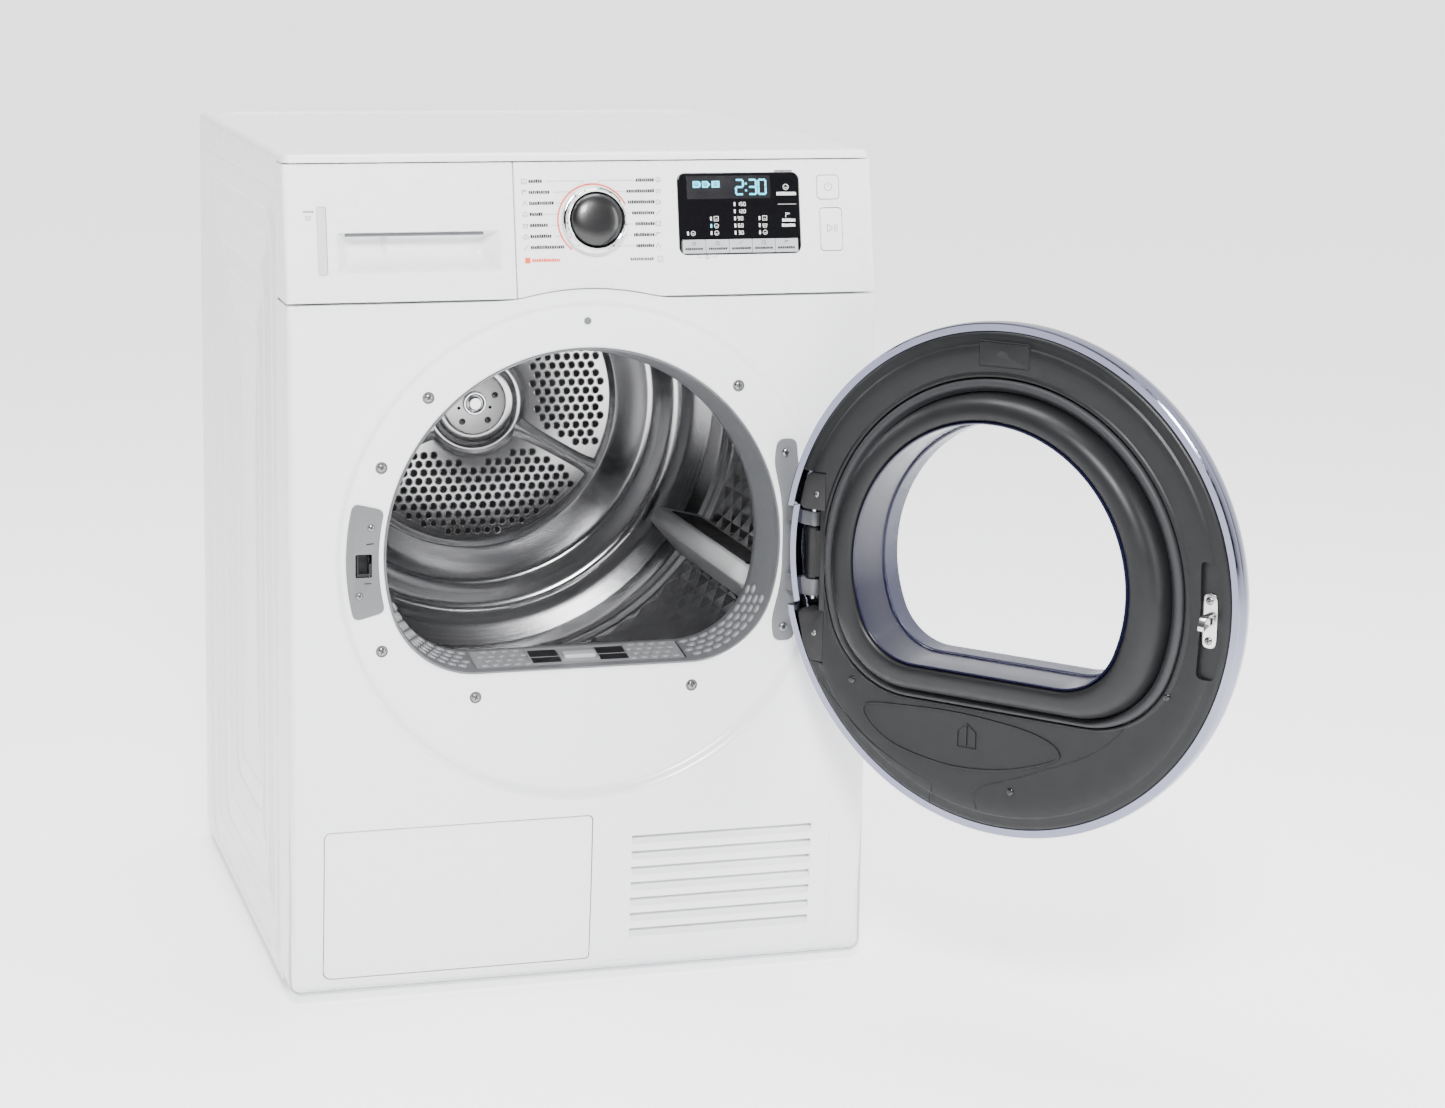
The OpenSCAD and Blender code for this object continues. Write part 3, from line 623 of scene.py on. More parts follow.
latch_slot = slab(rounded_box(-233, -216, 434, 462, 1.5, 4), FACE - 8, FRONT)
cut(front_panel, [loose("holes", *join_parts([slab(flap_gap, FACE - 8, FRONT), latch_slot] + slots))], 40)
print("front panel", len(front_panel.data.polygons), "faces")

# %% Louvres behind the grille slots
# One sloped slat is made here and repeated up the grille by a small node tree.


def finish_group(tree, last, material):
    """Ends a node tree with Realize Instances and Set Material."""
    realise = tree.nodes.new("GeometryNodeRealizeInstances")
    paint = tree.nodes.new("GeometryNodeSetMaterial")
    out = tree.nodes.new("NodeGroupOutput")
    paint.inputs["Material"].default_value = material
    tree.links.new(last, realise.inputs["Geometry"])
    tree.links.new(realise.outputs["Geometry"], paint.inputs["Geometry"])
    tree.links.new(paint.outputs["Geometry"], out.inputs["Geometry"])


def repeat_tree(name, shape, material, inputs):
    """A group that puts a copy of one shape on every point it is given, turned and sized by attributes."""
    tree = bpy.data.node_groups.new(name, "GeometryNodeTree")
    tree.interface.new_socket("Geometry", in_out="INPUT", socket_type="NodeSocketGeometry")
    for label, kind, value in inputs:
        socket = tree.interface.new_socket(label, in_out="INPUT", socket_type=kind)
        socket.default_value = value
    tree.interface.new_socket("Geometry", in_out="OUTPUT", socket_type="NodeSocketGeometry")
    group_in = tree.nodes.new("NodeGroupInput")
    source = tree.nodes.new("GeometryNodeObjectInfo")
    source.inputs["Object"].default_value = shape
    source.transform_space = "ORIGINAL"
    place = tree.nodes.new("GeometryNodeInstanceOnPoints")
    turn = tree.nodes.new("GeometryNodeInputNamedAttribute")
    turn.data_type = "FLOAT_VECTOR"
    turn.inputs["Name"].default_value = "turn"
    rotation = tree.nodes.new("FunctionNodeEulerToRotation")
    size = tree.nodes.new("ShaderNodeMath")
    size.operation = "MULTIPLY"
    size.inputs[1].default_value = 1.0
    tree.links.new(group_in.outputs["Geometry"], place.inputs["Points"])
    tree.links.new(source.outputs["Geometry"], place.inputs["Instance"])
    tree.links.new(turn.outputs["Attribute"], rotation.inputs["Euler"])
    tree.links.new(rotation.outputs["Rotation"], place.inputs["Rotation"])
    tree.links.new(group_in.outputs["Scale"], size.inputs[0])
    tree.links.new(size.outputs[0], place.inputs["Scale"])
    finish_group(tree, place.outputs["Instances"], material)
    return tree


def repeated(name, shape_verts, shape_faces, points, turns, material, body, slot, nodes=(), scale=1.0,
             sharp=35.0):
    """One baked mesh of a shape on every point. Points are in millimetres, turns are Euler angles."""
    shape = loose(name + "_shape", shape_verts, shape_faces)
    mesh = bpy.data.meshes.new(name)
    mesh.from_pydata((np.asarray(points, float) * MM).tolist(), [], [])
    attribute = mesh.attributes.new("turn", "FLOAT_VECTOR", "POINT")
    attribute.data.foreach_set("vector", np.asarray(turns, float).ravel())
    obj = bpy.data.objects.new(name, mesh)
    bpy.context.scene.collection.objects.link(obj)
    tree = repeat_tree(name + "_nodes", shape, material, [("Scale", "NodeSocketFloat", 1.0)])
    modifier = obj.modifiers.new("repeat", "NODES")
    modifier.node_group = tree
    for item in tree.interface.items_tree:
        if item.in_out == "INPUT" and item.name == "Scale":
            modifier[item.identifier] = float(scale)
    bake(obj, sharp)
    bpy.data.objects.remove(shape)
    obj.data.materials.clear()
    obj.data.materials.append(material)
    return settle(obj, body, nodes)


slat = skin([np.array([(x, FACE + y, z) for y, z in ((0.7, -6.6), (7.0, 1.2), (8.2, 1.2), (8.2, -0.5),
                                                     (2.4, -8.6))])
             for x in (GRILLE_X - GRILLE_W / 2 - 1, GRILLE_X + GRILLE_W / 2 + 1)], cap_start=True,
             cap_end=True)
rows = [(0, float(face_y([(0, GRILLE_Z + GRILLE_STEP * i)])[0] - FACE), GRILLE_Z + GRILLE_STEP * i)
        for i in range(7)]
repeated("grille_louvres", *slat, rows, np.zeros((7, 3)), white_enamel, "cabinet", "white_enamel")
print("louvres", len(rows))

# %% Filter flap


def flap_outline(inset):
    return by_angle(rounded_box(FLAP[0] + inset, FLAP[1] - inset, FLAP[2] + inset, FLAP[3] - inset,
                                (4, 6, 8, 3), 8), (-128.5, 103.0), 480)


flap = pad(flap_outline, (-128.5, 103.0), lambda p: face_y(p) + 0.1, 1.2, 3.0,
           inner=(0.8, 0.6, 0.4, 0.2, 0.03))
catch_tab = slab(rounded_box(FLAP[1] - 20, FLAP[1] - 14, 96, 112, 1), float(face_y([(0, 103)])[0]) + 2.5,
                 float(face_y([(0, 103)])[0]) + 14)
make_piece("filter_flap", *join_parts([flap, catch_tab]), white_plastic, "filter_door", "white_plastic",
           ["filter_door"], 40)

# %% Top cover


def cover_outline(inset, corner=9.0):
    c = max(corner - inset, 1.0)
    return rounded_box(-HALF + inset, HALF - inset, FRONT + inset, REAR - inset, c, 12)


def level_ring(outline, z):
    return np.column_stack([outline[:, 0], outline[:, 1], np.full(len(outline), z)])


def cover_shell():
    top = cover_high[2]
    rings = [level_ring(cover_outline(2.5), cover_low[2]), level_ring(cover_outline(0.5), cover_low[2]),
             level_ring(cover_outline(0), cover_low[2] + 0.8)]
    for turn_deg in np.linspace(0, 90, 7):
        c, s = 1 - math.cos(math.radians(turn_deg)), 1 - math.sin(math.radians(turn_deg))
        rings.append(level_ring(cover_outline(8 * c), top - 8 * s))
    tray = [(20, 0.0, 14), (21.5, 0.2, 14), (23, 0.9, 13), (25, 1.6, 12), (28, 2.1, 11), (33, 2.5, 10)]
    for inset, drop, corner in tray:
        rings.append(level_ring(cover_outline(inset, inset + corner), top - drop))
    under = [level_ring(cover_outline(2.5), top - 5.5)]
    return skin(under[::-1] + rings, cap_start=True, cap_end=True)


cover = make_piece("top_cover_shell", *cover_shell(), white_plastic, "cabinet", "white_plastic",
                   ["top_cover"], 40)
step_cut = [np.array([(x, y, z) for x, y in ((-HALF - 5, FRONT - 5), (HALF + 5, FRONT - 5),
                                             (HALF + 5, FRONT + 38), (-HALF - 5, FRONT + 38))])
            for z in (cover_low[2] - 5, cover_high[2] - 8)]
cut(cover, [loose("step", *skin(step_cut, cap_start=True, cap_end=True))], 40)
print("top cover", len(cover.data.polygons), "faces")

# %% Side panels with three nested pressings

def side_outline(y0, y1, z0, z1, corner):
    return by_angle(rounded_box(y0, y1, z0, z1, corner, 12), (10.0, 400.0), 720)


def side_rings(x_flat):
    """Each pressing falls steeply at its outer edge and eases into the next flat."""
    y0, y1, z0, z1 = FRONT + 38.5, REAR - 0.5, BOTTOM, cover_low[2] - 0.5
    rings = [(side_outline(y0, y1, z0, z1, 0.3), x_flat - 1.2), (side_outline(y0, y1, z0, z1, 0.3), x_flat)]
    pressings = [((-228, 247, 19, 788), 46, 33), ((-154, 167, 66, 720), 34, 33),
                 ((-95, 95, 132, 652), 26, 29)]
    depth = 0.0
    for (a, b, c, d), corner, width in pressings:
        for share, fall in ((0, 0), (0.03, 0.12), (0.08, 0.36), (0.13, 0.48), (0.5, 0.54), (0.86, 0.6),
                            (0.92, 0.74), (0.97, 0.93), (1, 1)):
            inset = width * share
            outline = side_outline(a + inset, b - inset, c + inset, d - inset, max(corner - inset * 0.5, 6))
            rings.append((outline, x_flat - depth - 3.2 * fall))
        depth += 3.2
    centre = np.array([0.0, 392.0])
    rings.append((centre + (rings[-1][0] - centre) * 0.3, x_flat - depth))
    return rings


for name, sign in (("left_side", -1), ("right_side", 1)):
    rings = [np.column_stack([np.full(len(o), sign * x), o]) for o, x in side_rings(HALF - 1)]
    back = [ring - (sign * 1.2, 0, 0) for ring in rings[1:]]
    verts, faces = skin(rings[1:] + back[::-1], loop=False, cap_start=False)
    count = len(rings[0])
    rows_n = len(verts) // count
    faces += [((rows_n - 1) * count + j, (rows_n - 1) * count + (j + 1) % count, (j + 1) % count, j)
              for j in range(count)]
    mid = len(rings) - 2
    faces = [f for f in faces if not (f[0] // count == mid and f[2] // count == mid + 1)]
    faces.append(tuple(mid * count + j for j in range(count)))
    faces.append(tuple((mid + 1) * count + j for j in range(count))[::-1])
    make_piece(name + "_skin", verts, faces, white_enamel, "cabinet", "white_enamel", [name + "_panel"], 50)
print("side panels done")

# %% Control panel and drawer front
PANEL_TOP_U = 129 / math.cos(LEAN)


def panel_shell(x0, x1, round_left, round_right):
    """A hollow fascia: a leaning face with rounded edges, and walls that run straight back."""
    def outline(left, right, ends):
        return rounded_box(x0 + left, x1 - right, ends, PANEL_TOP_U + 3 - ends, (1.5, 1.5, 0.8, 0.8), 6)

    def on_face(points, depth):
        return to_panel(np.column_stack([points[:, 0], np.broadcast_to(depth, len(points)), points[:, 1]]))

    def flattened(points, y):
        """The same outline on the back plane, with level walls between."""
        world = on_face(points, 0)
        world[:, 1] = y
        return world

    rings = [flattened(outline(0, 0, 0), FRONT + 38)]
    shape = outline(0, 0, 0)
    edge_left = np.clip(1 - (shape[:, 0] - x0) / 12, 0, 1)
    edge_right = np.clip(1 - (x1 - shape[:, 0]) / 12, 0, 1)
    body_end = np.clip(np.minimum(shape[:, 1], PANEL_TOP_U + 3 - shape[:, 1]) / 15, 0, 1)
    bend = 2.2 + (round_left * edge_left + round_right * edge_right - 2.2 * (edge_left + edge_right)) * body_end
    for turn_deg in (0, 22.5, 45, 67.5, 90):
        c, s = 1 - math.cos(math.radians(turn_deg)), 1 - math.sin(math.radians(turn_deg))
        rings.append(on_face(outline(round_left * c, round_right * c, 2.2 * c), bend * s))
    rings_in = [on_face(outline(round_left, round_right, 3.4), 2.4),
                flattened(outline(1.8, 1.8, 2.4), FRONT + 38)]
    count = len(shape)
    verts, faces = skin(rings, cap_end=True)
    inner_verts, inner_faces = skin(rings_in, cap_start=True)
    verts, faces = join_parts([(verts, faces), (inner_verts, inner_faces)])
    base = len(rings) * count + count
    faces += [(j, (j + 1) % count, base + (j + 1) % count, base + j) for j in range(count)]
    return verts, faces


def hump_cutter():
    xs = np.linspace(-150, 150, 121)
    rise = OPEN_Z - 2 + np.sqrt((SEAM + 12.5 - SEAT_Z) ** 2 - xs ** 2) - (SEAM + 1)
    rise = SEAM + 1 + 0.5 * (rise + np.sqrt(rise ** 2 + 9))
    outline = np.vstack([np.column_stack([xs, rise]), [(150, SEAM - 20), (-150, SEAM - 20)]])
    return slab(outline, FACE - 10, FRONT + 45)


screen_low, screen_high = box_mm("display_window")
SCREEN_X = (screen_low[0] + screen_high[0]) / 2
SCREEN_W = screen_high[0] - screen_low[0]
SCREEN_U, SCREEN_H = 80.7, 81.0
DIAL_X, DIAL_U = 7.5, 75.6
BUTTONS = [("power_button", 252.0, 106.0, 22.8, 23.8), ("start_button", 254.0, 63.5, 22.8, 42.8)]
fascia = make_piece("control_fascia", *panel_shell(fascia_low[0], HALF, 1.4, 7), white_plastic, "cabinet",
                    "white_plastic", ["control_panel"], 40)
holes = [panel_slab(rounded_box(x - w / 2 - 0.7, x + w / 2 + 0.7, u - h / 2 - 0.7, u + h / 2 + 0.7, 4.4),
                    -5, 9)
         for _, x, u, w, h in BUTTONS]
holes.append(panel_slab(rounded_box(SCREEN_X - SCREEN_W / 2 - 0.5, SCREEN_X + SCREEN_W / 2 + 0.5,
                                    SCREEN_U - SCREEN_H / 2 - 0.5, SCREEN_U + SCREEN_H / 2 + 0.5, 8), -5, 9))
holes.append(panel_slab(arc(DIAL_X, DIAL_U, 30, 0, 360, 97)[:-1], -5, 9))
cut(fascia, [loose("fascia_holes", *join_parts(holes)), loose("hump", *hump_cutter())], 40)

GRIP_X, GRIP_U, GRIP_W, GRIP_H = -167.5, 47.5, 162.0, 40.0
drawer = make_piece("drawer_fascia", *panel_shell(drawer_low[0], drawer_high[0], 7, 1.4), white_plastic,
                    "tank_drawer", "white_plastic", ["tank_drawer_front"], 40)
holes = [panel_slab(rounded_box(GRIP_X - GRIP_W / 2, GRIP_X + GRIP_W / 2, GRIP_U - GRIP_H / 2,
                                GRIP_U + GRIP_H / 2, 2.5), -5, 9),
         panel_slab(rounded_box(-262.5 - 4.8, -262.5 + 4.8, 60 - 33.3, 60 + 33.3, 2.5), -5, 9)]
cut(drawer, [loose("drawer_holes", *join_parts(holes)), loose("hump", *hump_cutter())], 40)
print("fascias done")

# %% Grip pocket, level window, keys, buttons and display


def pocket():
    """A scooped recess: a straight top wall, under which a dark bar of painted shade stands for the slit, and
    sides and floor that slope in.
    """
    def ring(side, bottom, top, depth):
        outline = rounded_box(GRIP_X - GRIP_W / 2 + side, GRIP_X + GRIP_W / 2 - side,
                              GRIP_U - GRIP_H / 2 + bottom, GRIP_U + GRIP_H / 2 - top, 2.2, 6)
        return to_panel(np.column_stack([outline[:, 0], np.full(len(outline), depth), outline[:, 1]]))
    inner = [ring(0.1, 0.1, 0.1, 0.4), ring(1.0, 0.8, 0.1, 1.2), ring(3.2, 2.4, 0.1, 4), ring(6, 5.2, 0.1, 9),
             ring(9, 9.4, 0.2, 14.5), ring(12.5, 14.4, 1.0, 19), ring(16, 18.6, 3.0, 21.5),
             ring(18, 20, 5, 22.2)]
    outer = [ring(7, 18, 7, 26), ring(-1.0, -1.0, -1.0, 24), ring(-2.4, -2.4, -2.4, 3),
             ring(-2.4, -2.4, -2.4, 2.6)]
    verts, faces = skin(inner, cap_end=True)
    out_verts, out_faces = skin(outer, cap_start=True)
    count = len(inner[0])
    verts, faces = join_parts([(verts, faces), (out_verts, out_faces)])
    base = len(inner) * count + (len(outer) - 1) * count
    faces += [(j, (j + 1) % count, base + (j + 1) % count, base + j) for j in range(count)]
    return verts, faces


slit_top = GRIP_U + GRIP_H / 2
# Painted shade: a dark grey bar under the pocket's top edge stands for the shaded slit there.
slit = panel_slab(rounded_box(GRIP_X - GRIP_W / 2 + 9, GRIP_X + GRIP_W / 2 - 16, slit_top - 3.4,
                              slit_top - 0.3, 0.8, 4), 5.5, 7.5)
make_piece("grip_pocket", *pocket(), white_plastic, "tank_drawer", "white_plastic", (), 30)
make_piece("grip_slit", *slit, grey_plastic, "tank_drawer", "grey_plastic")
make_piece("tank_level_bar", *panel_pad(-262.5, 60, 9, 66, 2.2, 0.8, 0.5, 3), gauge, "tank_drawer",
           "gauge_plastic", ["level_window"])
for name, x, u, w, h in BUTTONS:
    make_piece(name + "_cap", *panel_pad(x, u, w, h, 4, 1.8, -1.6, 7.6), white_plastic, name, "white_plastic",
               [name])
KEY_U = SCREEN_U - SCREEN_H / 2 + 8
KEY_STEP = (126.8 - 6) / 5
for i in range(5):
    x = SCREEN_X + KEY_STEP * (i - 2)
    make_piece(f"key_{i + 1}_cap", *panel_pad(x, KEY_U, 23.6, 13.6, 0.6, 0.5, -0.8, 6.8), silver_key,
               f"key_{i + 1}", "silver_keys", [f"key_{i + 1}"])
window_pad = panel_pad(SCREEN_X, SCREEN_U, SCREEN_W, SCREEN_H, 7.6, 0.7, -0.6, 3.6)
display = make_piece("display_glass", *window_pad, display_black, "cabinet", "black_gloss",
                     ["display_window"])
cut(display, [loose("key_notch", *panel_slab(rounded_box(SCREEN_X - 62, SCREEN_X + 62, KEY_U - 7.6,
                                                         KEY_U + 7.4, 0.8), -5, 9))])
print("controls done")

# %% [markdown]
# ## Printed marks and the lit display
# Every word is replaced by a row of plain blocks, and every sign by a simple shape. All marks are thin solids
# that stand a little proud of the panel.


# %% Strokes, blocks and digits
def stroke(a, b, width, d0, d1):
    """A thin bar from a to b, in panel coordinates."""
    a, b = np.asarray(a, float), np.asarray(b, float)
    along = (b - a) / max(np.hypot(*(b - a)), 1e-6)
    across = np.array([-along[1], along[0]]) * width / 2
    ends = along * width * 0.3
    return panel_slab(np.array([a - across - ends, b - across + ends, b + across + ends, a + across - ends]),
                      d0, d1)


def strokes(points, width, d0=-0.2, d1=0.3, closed=False):
    pairs = list(zip(points, points[1:] + (points[:1] if closed else [])))
    return [stroke(a, b, width, d0, d1) for a, b in pairs]


def blocks(x, u, length, height, seed, d0=-0.2, d1=0.3):
    """A row of plain blocks of uneven width, as greeked print."""
    rng = np.random.default_rng(seed)
    parts, at = [], x
    while at < x + length - 1:
        width = 1.3 + 0.9 * rng.random()
        tall = height * (0.92 + 0.18 * rng.random())
        parts.append(panel_slab([(at, u - height / 2), (at + width, u - height / 2),
                                 (at + width, u - height / 2 + tall), (at, u - height / 2 + tall)], d0, d1))
        at += width + 0.4
    return parts


SEGMENTS = {"0": "abcdef", "1": "bc", "2": "abged", "3": "abgcd", "5": "afgcd", "6": "afgedc", "9": "abcdfg"}


def digit(char, x, u, w, h, width, d0, d1):
    """A seven-segment digit with its lower left corner at (x, u)."""
    ends = {"a": ((0, 1), (1, 1)), "b": ((1, 1), (1, 0.5)), "c": ((1, 0.5), (1, 0)), "d": ((0, 0), (1, 0)),
            "e": ((0, 0), (0, 0.5)), "f": ((0, 0.5), (0, 1)), "g": ((0, 0.5), (1, 0.5))}
    parts = []
    for name in SEGMENTS[char]:
        (ax, au), (bx, bu) = ends[name]
        gap = width * 0.45 / max(abs(bx - ax) * w + abs(bu - au) * h, 1e-6)
        a = np.array([x + ax * w, u + au * h])
        b = np.array([x + bx * w, u + bu * h])
        parts.append(stroke(a + (b - a) * gap, b - (b - a) * gap, width, d0, d1))
    return parts


def sign(kind, x, u, size, width=0.45, d0=-0.2, d1=0.3):
    """A simple sign: none of them means anything."""
    h = size / 2
    shapes = {
        "square": [(-h, -h), (h, -h), (h, h), (-h, h)],
        "basin": [(-h, h * 0.5), (-h * 0.7, -h), (h * 0.7, -h), (h, h * 0.5)],
        "tent": [(-h, -h), (0, h), (h, -h)],
        "cross": [(-h, -h), (h, h)],
        "house": [(-h, -h), (-h, 0.2 * h), (0, h), (h, 0.2 * h), (h, -h)],
        "ring": [(h * math.cos(a), h * math.sin(a)) for a in np.linspace(0, 2 * math.pi, 11)[:-1]],
        "flag": [(-h, -h), (-h, h), (h, h * 0.7), (-h, h * 0.1)]}
    points = [(x + px, u + pu) for px, pu in shapes[kind]]
    parts = strokes(points, width, d0, d1, closed=kind in ("square", "basin", "ring", "house"))
    if kind in ("basin", "ring", "house", "square"):
        parts.append(stroke((x - h * 0.4, u - h * 0.2), (x + h * 0.4, u - h * 0.2), width, d0, d1))
    return parts


KINDS = ["square", "flag", "tent", "ring", "basin", "house", "cross"]
print("mark helpers ready")

# %% Marks round the dial
ROW_STEP = 10.85
ROW_TOP = 115.2
grey_marks, orange_marks, pale_marks = [], [], []
left_words = [-42, -35, -33, -44, -38, -35, -22]
right_words = [52, 42, 43, 47, 50, 48, 50]
near_left = [-16, -16, -25, -27, -26.5, -25, -15]
near_right = [26, 26, 35, 39, 40, 38, 30]
for i in range(7):
    u = ROW_TOP - ROW_STEP * i
    grey_marks += sign(KINDS[i], -61.5, u, 4.6)
    grey_marks += blocks(-57, u, left_words[i] + 57, 3.1, 10 + i)
    grey_marks += sign(KINDS[(i + 3) % 7], 75.0 - 0.4 * i, u, 4.6)
    grey_marks += blocks(right_words[i], u, 70.5 - 0.4 * i - right_words[i], 3.1, 30 + i)
    if i == 0:
        pale_marks += strokes([(left_words[0] + 2.5, u), (-2, u), (-0.6, u - 2.6)], 0.35)
        pale_marks += strokes([(right_words[0] - 1.5, u), (14.5, u), (13.2, u - 2.6)], 0.35)
    else:
        pale_marks.append(stroke((left_words[i] + 2.5, u), (near_left[i], u), 0.35, -0.2, 0.3))
        pale_marks.append(stroke((near_right[i], u), (right_words[i] - 1.5, u), 0.35, -0.2, 0.3))


def arc_band(r, width, start, stop, count, d0=-0.25, d1=0.3):
    outer = arc(DIAL_X, DIAL_U, r + width / 2, start, stop, count)
    inner = arc(DIAL_X, DIAL_U, r - width / 2, stop, start, count)
    return panel_slab(np.vstack([outer, inner]), d0, d1)


orange_marks.append(arc_band(36.3, 1.5, 26, 231, 60))
orange_marks.append(panel_slab(rounded_box(-63.2, -57.8, 34.6, 40.2, 0.5, 3), -0.2, 0.3))
orange_marks += blocks(-56, 37.3, 28, 3.0, 51)
faint_marks = blocks(43.5, 36.9, 25, 2.8, 52) + sign("square", 74.2, 36.7, 5.0)
faint_marks += blocks(196, 122.8, 20, 1.9, 53)
faint_marks += strokes([(113, 39.6), (113, 37.5), (118.5, 37.5)], 0.35)
faint_marks += strokes([(132.3, 39.6), (132.3, 37.5), (127, 37.5)], 0.35) + sign("ring", 122.8, 37.3, 3.8)
faint_marks += blocks(-280, 88.2, 9.5, 1.5, 54) + sign("basin", -275.2, 82.6, 4.8)
power_x, power_u = 252.0, 106.6
turns = [(power_x + 3.9 * math.sin(a), power_u - 0.5 + 3.9 * math.cos(a)) for a in np.linspace(0.6, 5.68, 15)]
button_marks = strokes(turns, 0.5, -1.85, -1.3) + [stroke((power_x, power_u - 0.2),
                                                          (power_x, power_u + 4.4), 0.5,
                                                         -1.85, -1.3)]
start_marks = strokes([(249.4, 60.3), (249.4, 68.3), (255, 64.3)], 0.5, -1.85, -1.3, closed=True)
start_marks += [stroke((257.3, 60.6), (257.3, 68), 0.5, -1.85, -1.3), stroke((259.6, 60.6), (259.6, 68), 0.5,
                                                                        -1.85, -1.3)]
drawer_marks = [p for p in faint_marks if p[0][:, 0].max() < -80]
panel_faint = [p for p in faint_marks if p[0][:, 0].max() >= -80]
make_piece("marks_dark", *join_parts(grey_marks), print_dark, "cabinet", "black_gloss")
make_piece("marks_lines", *join_parts(pale_marks), print_and_shade_grey, "cabinet", "black_gloss")
make_piece("marks_orange", *join_parts(orange_marks), print_orange, "cabinet", "black_gloss")
make_piece("marks_faint", *join_parts(panel_faint), print_and_shade_grey, "cabinet", "black_gloss")
make_piece("marks_drawer", *join_parts(drawer_marks), print_and_shade_grey, "tank_drawer", "black_gloss")
make_piece("power_sign", *join_parts(button_marks), print_and_shade_grey, "power_button", "black_gloss")
make_piece("start_sign", *join_parts(start_marks), print_and_shade_grey, "start_button", "black_gloss")
print("marks", len(grey_marks) + len(pale_marks) + len(orange_marks) + len(faint_marks))

# %% The display
LIT = (-0.78, -0.4)
cyan_parts, white_parts = [], []
for text_x, char in ((155.2, "2"), (168.8, "3"), (178.8, "0")):
    cyan_parts += digit(char, text_x, 99.8, 7.4, 14.4, 1.9, *LIT)
for u in (103.6, 110.4):
    cyan_parts.append(panel_slab(rounded_box(164.6, 166.6, u - 1, u + 1, 0.3, 3), *LIT))
icon_u = 110.1
cyan_parts.append(panel_slab(rounded_box(110.4, 118.6, icon_u - 3.3, icon_u + 3.3, (2.6, 0.6, 0.6, 2.6), 5),
                             *LIT))
cyan_parts.append(panel_slab([(120, icon_u - 3.3), (125.6, icon_u - 3.3), (128.6, icon_u),
                              (125.6, icon_u + 3.3), (120, icon_u + 3.3)], *LIT))
cyan_parts.append(panel_slab(rounded_box(130, 138.2, icon_u - 3.3, icon_u + 3.3, 0.5, 3), *LIT))
dark_parts = []
for x in (114, 123.4, 134.1):
    dark_parts += sign("ring", x, icon_u, 3.4, 0.6, -0.86, -0.6)
DOTS_U = [61.4 + 7.15 * i for i in range(5)]
for i, label in enumerate(("30", "60", "90", "120", "150")):
    white_parts.append(panel_slab(rounded_box(152.2, 153.9, DOTS_U[i] - 1.9, DOTS_U[i] + 1.9, 0.2, 2), *LIT))
    for j, char in enumerate(label):
        white_parts += digit(char, 156.2 + 3.1 * j, DOTS_U[i] - 1.7, 1.9, 3.4, 0.55, *LIT)
for x, heights in ((103.6, (0,)), (128.0, (0, 2)), (178.6, (0, 1, 2))):
    for i in heights:
        white_parts.append(panel_slab(rounded_box(x - 0.85, x + 0.85, DOTS_U[i] - 1.9, DOTS_U[i] + 1.9, 0.2,
                                                  2),
                                      *LIT))
        white_parts += sign(KINDS[(i + int(x)) % 5], x + 5.4, DOTS_U[i], 4.4, 0.5, *LIT)
cyan_parts.append(panel_slab(rounded_box(127.15, 128.85, DOTS_U[1] - 1.9, DOTS_U[1] + 1.9, 0.2, 2), *LIT))
white_parts += sign("ring", 133.4, DOTS_U[1], 4.4, 0.5, *LIT)
white_parts += sign("ring", 207.4, 106.6, 5.4, 0.6, *LIT) + blocks(197.4, 99.8, 20.5, 3.1, 61, *LIT)
white_parts.append(stroke((198.5, 89.3), (217.8, 89.3), 0.3, *LIT))
white_parts += sign("flag", 208.4, 78.4, 4.4, 0.5, *LIT) + blocks(202.4, 73.2, 13.5, 2.9, 62, *LIT)
white_parts += blocks(202, 68.1, 14, 2.9, 63, *LIT)
make_piece("display_lit_cyan", *join_parts(cyan_parts), cyan_light, "cabinet", "black_gloss")
make_piece("display_lit_white", *join_parts(white_parts), white_light, "cabinet", "black_gloss")
make_piece("display_icons", *join_parts(dark_parts), display_black, "cabinet", "black_gloss")
for i in range(5):
    x = SCREEN_X + KEY_STEP * (i - 2)
    key_marks = sign(KINDS[(i + 4) % 7], x, KEY_U + 3.2, 3.6, 0.4, -0.95, -0.6)
    key_marks += blocks(x - 9.5, KEY_U - 2.4, 19, 2.2, 70 + i, -0.95, -0.6)
    make_piece(f"key_{i + 1}_marks", *join_parts(key_marks), print_dark, f"key_{i + 1}", "black_gloss")
band = panel_slab(rounded_box(104, 191, 95.5, 118.5, 0.6, 3), -0.68, -0.5)
make_piece("display_band", *band, plain_gloss("display_band", (0.012, 0.012, 0.014), 0.25), "cabinet",
           "black_gloss")
print("display", len(cyan_parts), len(white_parts))

# %% Dial


def dial_piece(name, profile, material, slot, nodes=(), sharp=30.0):
    """Profile points are (radius, depth), turned about the dial's own axis."""
    angles = np.linspace(0, 2 * math.pi, 128, endpoint=False)
    rings = [to_panel(np.column_stack([DIAL_X + r * np.cos(angles), np.full(128, d),
                                       DIAL_U + r * np.sin(angles)]))
             for r, d in profile]
    make_piece(name, *skin(rings, loop=True), material, "dial", slot, nodes, sharp)


dial_piece("dial_ring", [(26.4, -3), (26.4, -10), (27, -12.4), (27.8, -13.6), (28.6, -13.9), (29.2, -13.2),
                         (29.8, -11), (30.6, -9.4), (31.4, -8.8), (32.2, -8.6), (33.0, -7.8), (33.4, -6.4),
                         (33.5, -4), (33.3, -1.3), (32.6, -1), (10, -1), (10, -3)], chrome, "chrome",
           ["dial_knob"])
dial_piece("dial_dome", [(0.02, -20.6), (6, -20.5), (12, -20.1), (17, -19.3), (21, -18.0), (23.6, -16.6),
                         (25.2, -15.0), (26.0, -13.0), (26.3, -10), (26.3, -3), (0.02, -3)], dial_black,
           "black_gloss", ["dial_cap"], 50)
angles = [math.radians(109 + 20.7 * i) for i in range(7)] + [math.radians(83 - 23.2 * i) for i in range(7)]
lit_angle = angles.pop(7)


